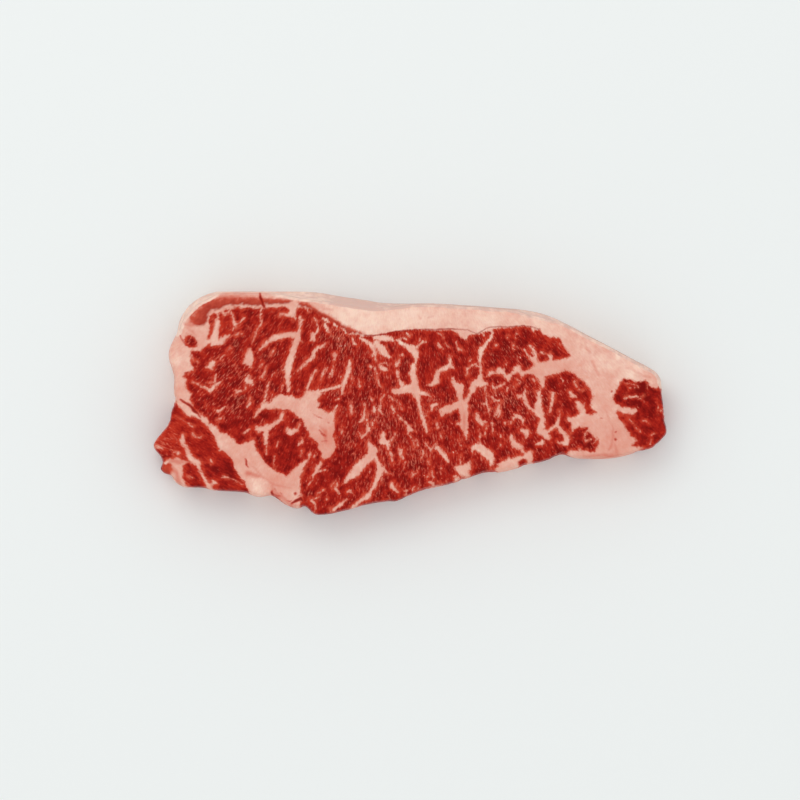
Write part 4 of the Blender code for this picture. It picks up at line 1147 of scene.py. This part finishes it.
    # Skin covers the outside of the cap, speckled on top and darker where it hangs. It doesn't stain.
    dry = add("ShaderNodeMath", {0: pale, 1: -0.4, 2: clouds}, operation="MULTIPLY_ADD")
    speckle = add("ShaderNodeMapRange", {"Value": dry, "From Min": 0.27, "From Max": 0.62})
    top_skin = {"Factor": speckle, "A": colours.skin, "B": colours.fat_pale}
    skin_colour = add("ShaderNodeMix", top_skin, data_type="RGBA")
    hanging = add("ShaderNodeMapRange", {"Value": skin, "From Min": 0.85, "From Max": 0.97})
    side_skin = {"Factor": hanging, "A": skin_colour, "B": colours.skin_dark}
    skin_colour = add("ShaderNodeMix", side_skin, data_type="RGBA")
    skin_range = {"Value": skin, "From Min": 0.1, "From Max": 0.3}
    skin_mask = add("ShaderNodeMapRange", skin_range, interpolation_type="SMOOTHSTEP")
    meat = add("ShaderNodeMix", {"Factor": skin_mask, "A": meat, "B": skin_colour}, data_type="RGBA")
    clean_side = {"Value": skin, "From Min": 0.5, "From Max": 0.9, "To Min": 1.0, "To Max": 0.0}
    stainable = add("ShaderNodeMapRange", clean_side)
    bloody = add("ShaderNodeMath", {0: clouds, 1: 1.6, 2: salmon_depth}, operation="MULTIPLY_ADD")
    bloody_range = {"Value": bloody, "From Min": 0.0, "From Max": 2.0, "To Max": 0.6}
    in_blood = add("ShaderNodeMapRange", bloody_range, interpolation_type="SMOOTHSTEP")
    bloody_share = add("ShaderNodeMath", {0: in_blood, 1: stainable}, operation="MULTIPLY")
    meat = add("ShaderNodeMix", {"Factor": bloody_share, "A": meat, "B": colours.blush}, data_type="RGBA")

    # The band is darkest along its foot and fades into the fat above it.
    tints = (colours.band_dark, colours.band, colours.fat_salmon, colours.fat)
    band_stops = list(zip((0.0, 0.5, 0.88, 1.0), tints))
    streaky_band = add("ShaderNodeMath", {0: bundles, 1: 1.6, 2: band_share}, operation="MULTIPLY_ADD")
    cloudy_band = add("ShaderNodeMath", {0: clouds, 1: 0.7, 2: streaky_band}, operation="MULTIPLY_ADD")
    centred_band = add("ShaderNodeMath", {0: cloudy_band, 1: 1.35}, operation="SUBTRACT")
    band_colour = add("ShaderNodeValToRGB", {"Fac": centred_band}, stops=band_stops)
    frayed_band = add("ShaderNodeMath", {0: bundles, 1: 4.0, 2: band_depth}, operation="MULTIPLY_ADD")
    band_range = {"Value": frayed_band, "From Min": 1.3, "From Max": 2.9}
    in_band = add("ShaderNodeMapRange", band_range, interpolation_type="SMOOTHSTEP")
    uncovered = add("ShaderNodeMath", {0: 1.0, 1: skin_mask}, operation="SUBTRACT")
    band_mask = add("ShaderNodeMath", {0: in_band, 1: uncovered}, operation="MULTIPLY")
    meat = add("ShaderNodeMix", {"Factor": band_mask, "A": meat, "B": band_colour}, data_type="RGBA")
    line_range = {"Value": line_depth, "From Min": -0.4, "From Max": 0.3, "To Max": 0.8}
    line_mask = add("ShaderNodeMapRange", line_range, interpolation_type="SMOOTHSTEP")
    meat = add("ShaderNodeMix", {"Factor": line_mask, "A": meat, "B": colours.lean}, data_type="RGBA")

    # Blood stains what lies round a cut, and a dark core is painted in it: painted shade in cuts and pits,
    # dark blood in blood marks.
    stain_and_painted_shade = ((-0.5, 0.25, 0.9, colours.lean_bright), (0.0, 0.5, 0.8, colours.lean_dark))
    for low, high, most, colour in stain_and_painted_shade:
        mark_range = {"Value": mark_depth, "From Min": low, "From Max": high, "To Max": most}
        in_mark = add("ShaderNodeMapRange", mark_range, interpolation_type="SMOOTHSTEP")
        mark_share = add("ShaderNodeMath", {0: in_mark, 1: stainable}, operation="MULTIPLY")
        meat = add("ShaderNodeMix", {"Factor": mark_share, "A": meat, "B": colour}, data_type="RGBA")

    # Relief finer than the mesh: cut bundles in the lean, and a faint orange-peel wave in the fat.
    rough = add("ShaderNodeMath", {0: crumbs, 1: 0.5, 2: flecks}, operation="MULTIPLY_ADD")
    lean_relief = add("ShaderNodeMapRange", {"Value": fat_share, "To Min": 1.0, "To Max": 0.3})
    height = add("ShaderNodeMath", {0: rough, 1: lean_relief}, operation="MULTIPLY")
    bump = add("ShaderNodeBump", {"Height": height, "Distance": 0.35 * MM, "Strength": 0.6})
    roughness = add("ShaderNodeMapRange", {"Value": fat_share, "To Min": 0.38, "To Max": 0.5})
    sockets = {
        "Base Color": meat,
        "Roughness": roughness,
        "IOR": 1.4,
        "Specular IOR Level": 0.09,
        "Subsurface Weight": 0.1,
        "Subsurface Radius": (1.0, 0.35, 0.2),
        "Subsurface Scale": 0.8 * MM,
        "Normal": bump,
    }
    shader = add("ShaderNodeBsdfPrincipled", sockets)
    add("ShaderNodeOutputMaterial", {"Surface": shader})
    return material


def pale_floor(colour):
    """Matt laminated board: a plain pale ground with no grain and hardly any shine."""
    material = bpy.data.materials.new("matt_board")
    material.use_nodes = True
    tree = material.node_tree
    tree.nodes.clear()
    finish = {"Base Color": colour, "Roughness": 0.9, "Specular IOR Level": 0.1}
    shader = add_node(tree, "ShaderNodeBsdfPrincipled", finish)
    add_node(tree, "ShaderNodeOutputMaterial", {"Surface": shader})
    return material


class STEAK_OT_make_meat(bpy.types.Operator):
    """Make the steak: the relief, the marbling and the meat's finish"""

    bl_idname = "steak.make_meat"
    bl_label = "Make Steak"

    def execute(self, context):
        surface = context.scene.steak_surface
        mesh = remeshed(merged_copy(NODE), surface.voxel)
        finer_upper_side(mesh)
        marble(mesh, surface)
        mesh.name = "marbled_meat"
        mesh.shade_smooth()
        mesh.materials.clear()
        mesh.materials.append(raw_beef(context.scene.steak_colours))
        meat = bpy.data.objects.new("marbled_meat", mesh)
        context.scene.collection.objects.link(meat)
        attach(meat, "root")
        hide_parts(NODE)
        return {"FINISHED"}


# The floor's side and the light's place are in metres, and the camera's sensor is in mm.
FLOOR_SIDE = 6.0
SENSOR_WIDTH = 36.0
KEY_PLACE = (-0.5, 0.9, 1.5)


class STEAK_OT_make_stage(bpy.types.Operator):
    """Make the stage: a plain pale floor, soft light and the camera straight above"""

    bl_idname = "steak.make_stage"
    bl_label = "Make Stage"

    def execute(self, context):
        stage = context.scene.steak_stage
        made = bmesh.new()
        bmesh.ops.create_grid(made, x_segments=1, y_segments=1, size=FLOOR_SIDE / 2)
        mesh = bpy.data.meshes.new("floor")
        made.to_mesh(mesh)
        made.free()
        mesh.materials.append(pale_floor(stage.floor))
        floor = bpy.data.objects.new("floor", mesh)
        context.scene.collection.objects.link(floor)

        world = bpy.data.worlds.new("soft_sky")
        world.use_nodes = True
        sky = world.node_tree.nodes["Background"]
        sky.inputs["Color"].default_value = (1.0, 1.0, 1.0, 1.0)
        sky.inputs["Strength"].default_value = stage.sky_strength
        context.scene.world = world

        light = bpy.data.lights.new("key", "AREA")
        light.energy = stage.key_power
        light.size = stage.key_size
        key = bpy.data.objects.new("key", light)
        key.location = KEY_PLACE
        key.rotation_euler = (-Vector(KEY_PLACE)).to_track_quat("-Z", "Y").to_euler()
        context.scene.collection.objects.link(key)

        camera_data = bpy.data.cameras.new("camera")
        camera_data.sensor_width = SENSOR_WIDTH
        camera_data.lens = stage.lens
        camera = bpy.data.objects.new("camera", camera_data)
        above = stage.view_width * stage.lens / SENSOR_WIDTH
        camera.location = (VIEW_MIDDLE[0] * MM, VIEW_MIDDLE[1] * MM, VIEW_LEVEL * MM + above)
        context.scene.collection.objects.link(camera)
        context.scene.camera = camera
        context.scene.view_settings.view_transform = "Standard"
        return {"FINISHED"}


class STEAK_PT_panel(bpy.types.Panel):
    """The steak's sizes, colours and stage"""

    bl_idname = "STEAK_PT_panel"
    bl_label = "Raw Sirloin Steak"
    bl_space_type = "VIEW_3D"
    bl_region_type = "UI"
    bl_category = "Steak"

    def draw(self, context):
        scene = context.scene
        for group in (scene.steak_surface, scene.steak_colours, scene.steak_stage):
            box = self.layout.box()
            for name in group.__annotations__:
                box.prop(group, name)
        self.layout.operator(STEAK_OT_make_meat.bl_idname)
        self.layout.operator(STEAK_OT_make_stage.bl_idname)


CLASSES = (SteakSurface, SteakColours, SteakStage, STEAK_OT_make_meat, STEAK_OT_make_stage, STEAK_PT_panel)
GROUPS = {"steak_surface": SteakSurface, "steak_colours": SteakColours, "steak_stage": SteakStage}


def register():
    for cls in CLASSES:
        bpy.utils.register_class(cls)
    for name, group in GROUPS.items():
        setattr(bpy.types.Scene, name, bpy.props.PointerProperty(type=group))


def unregister():
    for name in GROUPS:
        delattr(bpy.types.Scene, name)
    for cls in reversed(CLASSES):
        bpy.utils.unregister_class(cls)


def main():
    register()
    bpy.ops.steak.make_stage()
    bpy.ops.steak.make_meat()


if __name__ == "__main__":
    main()
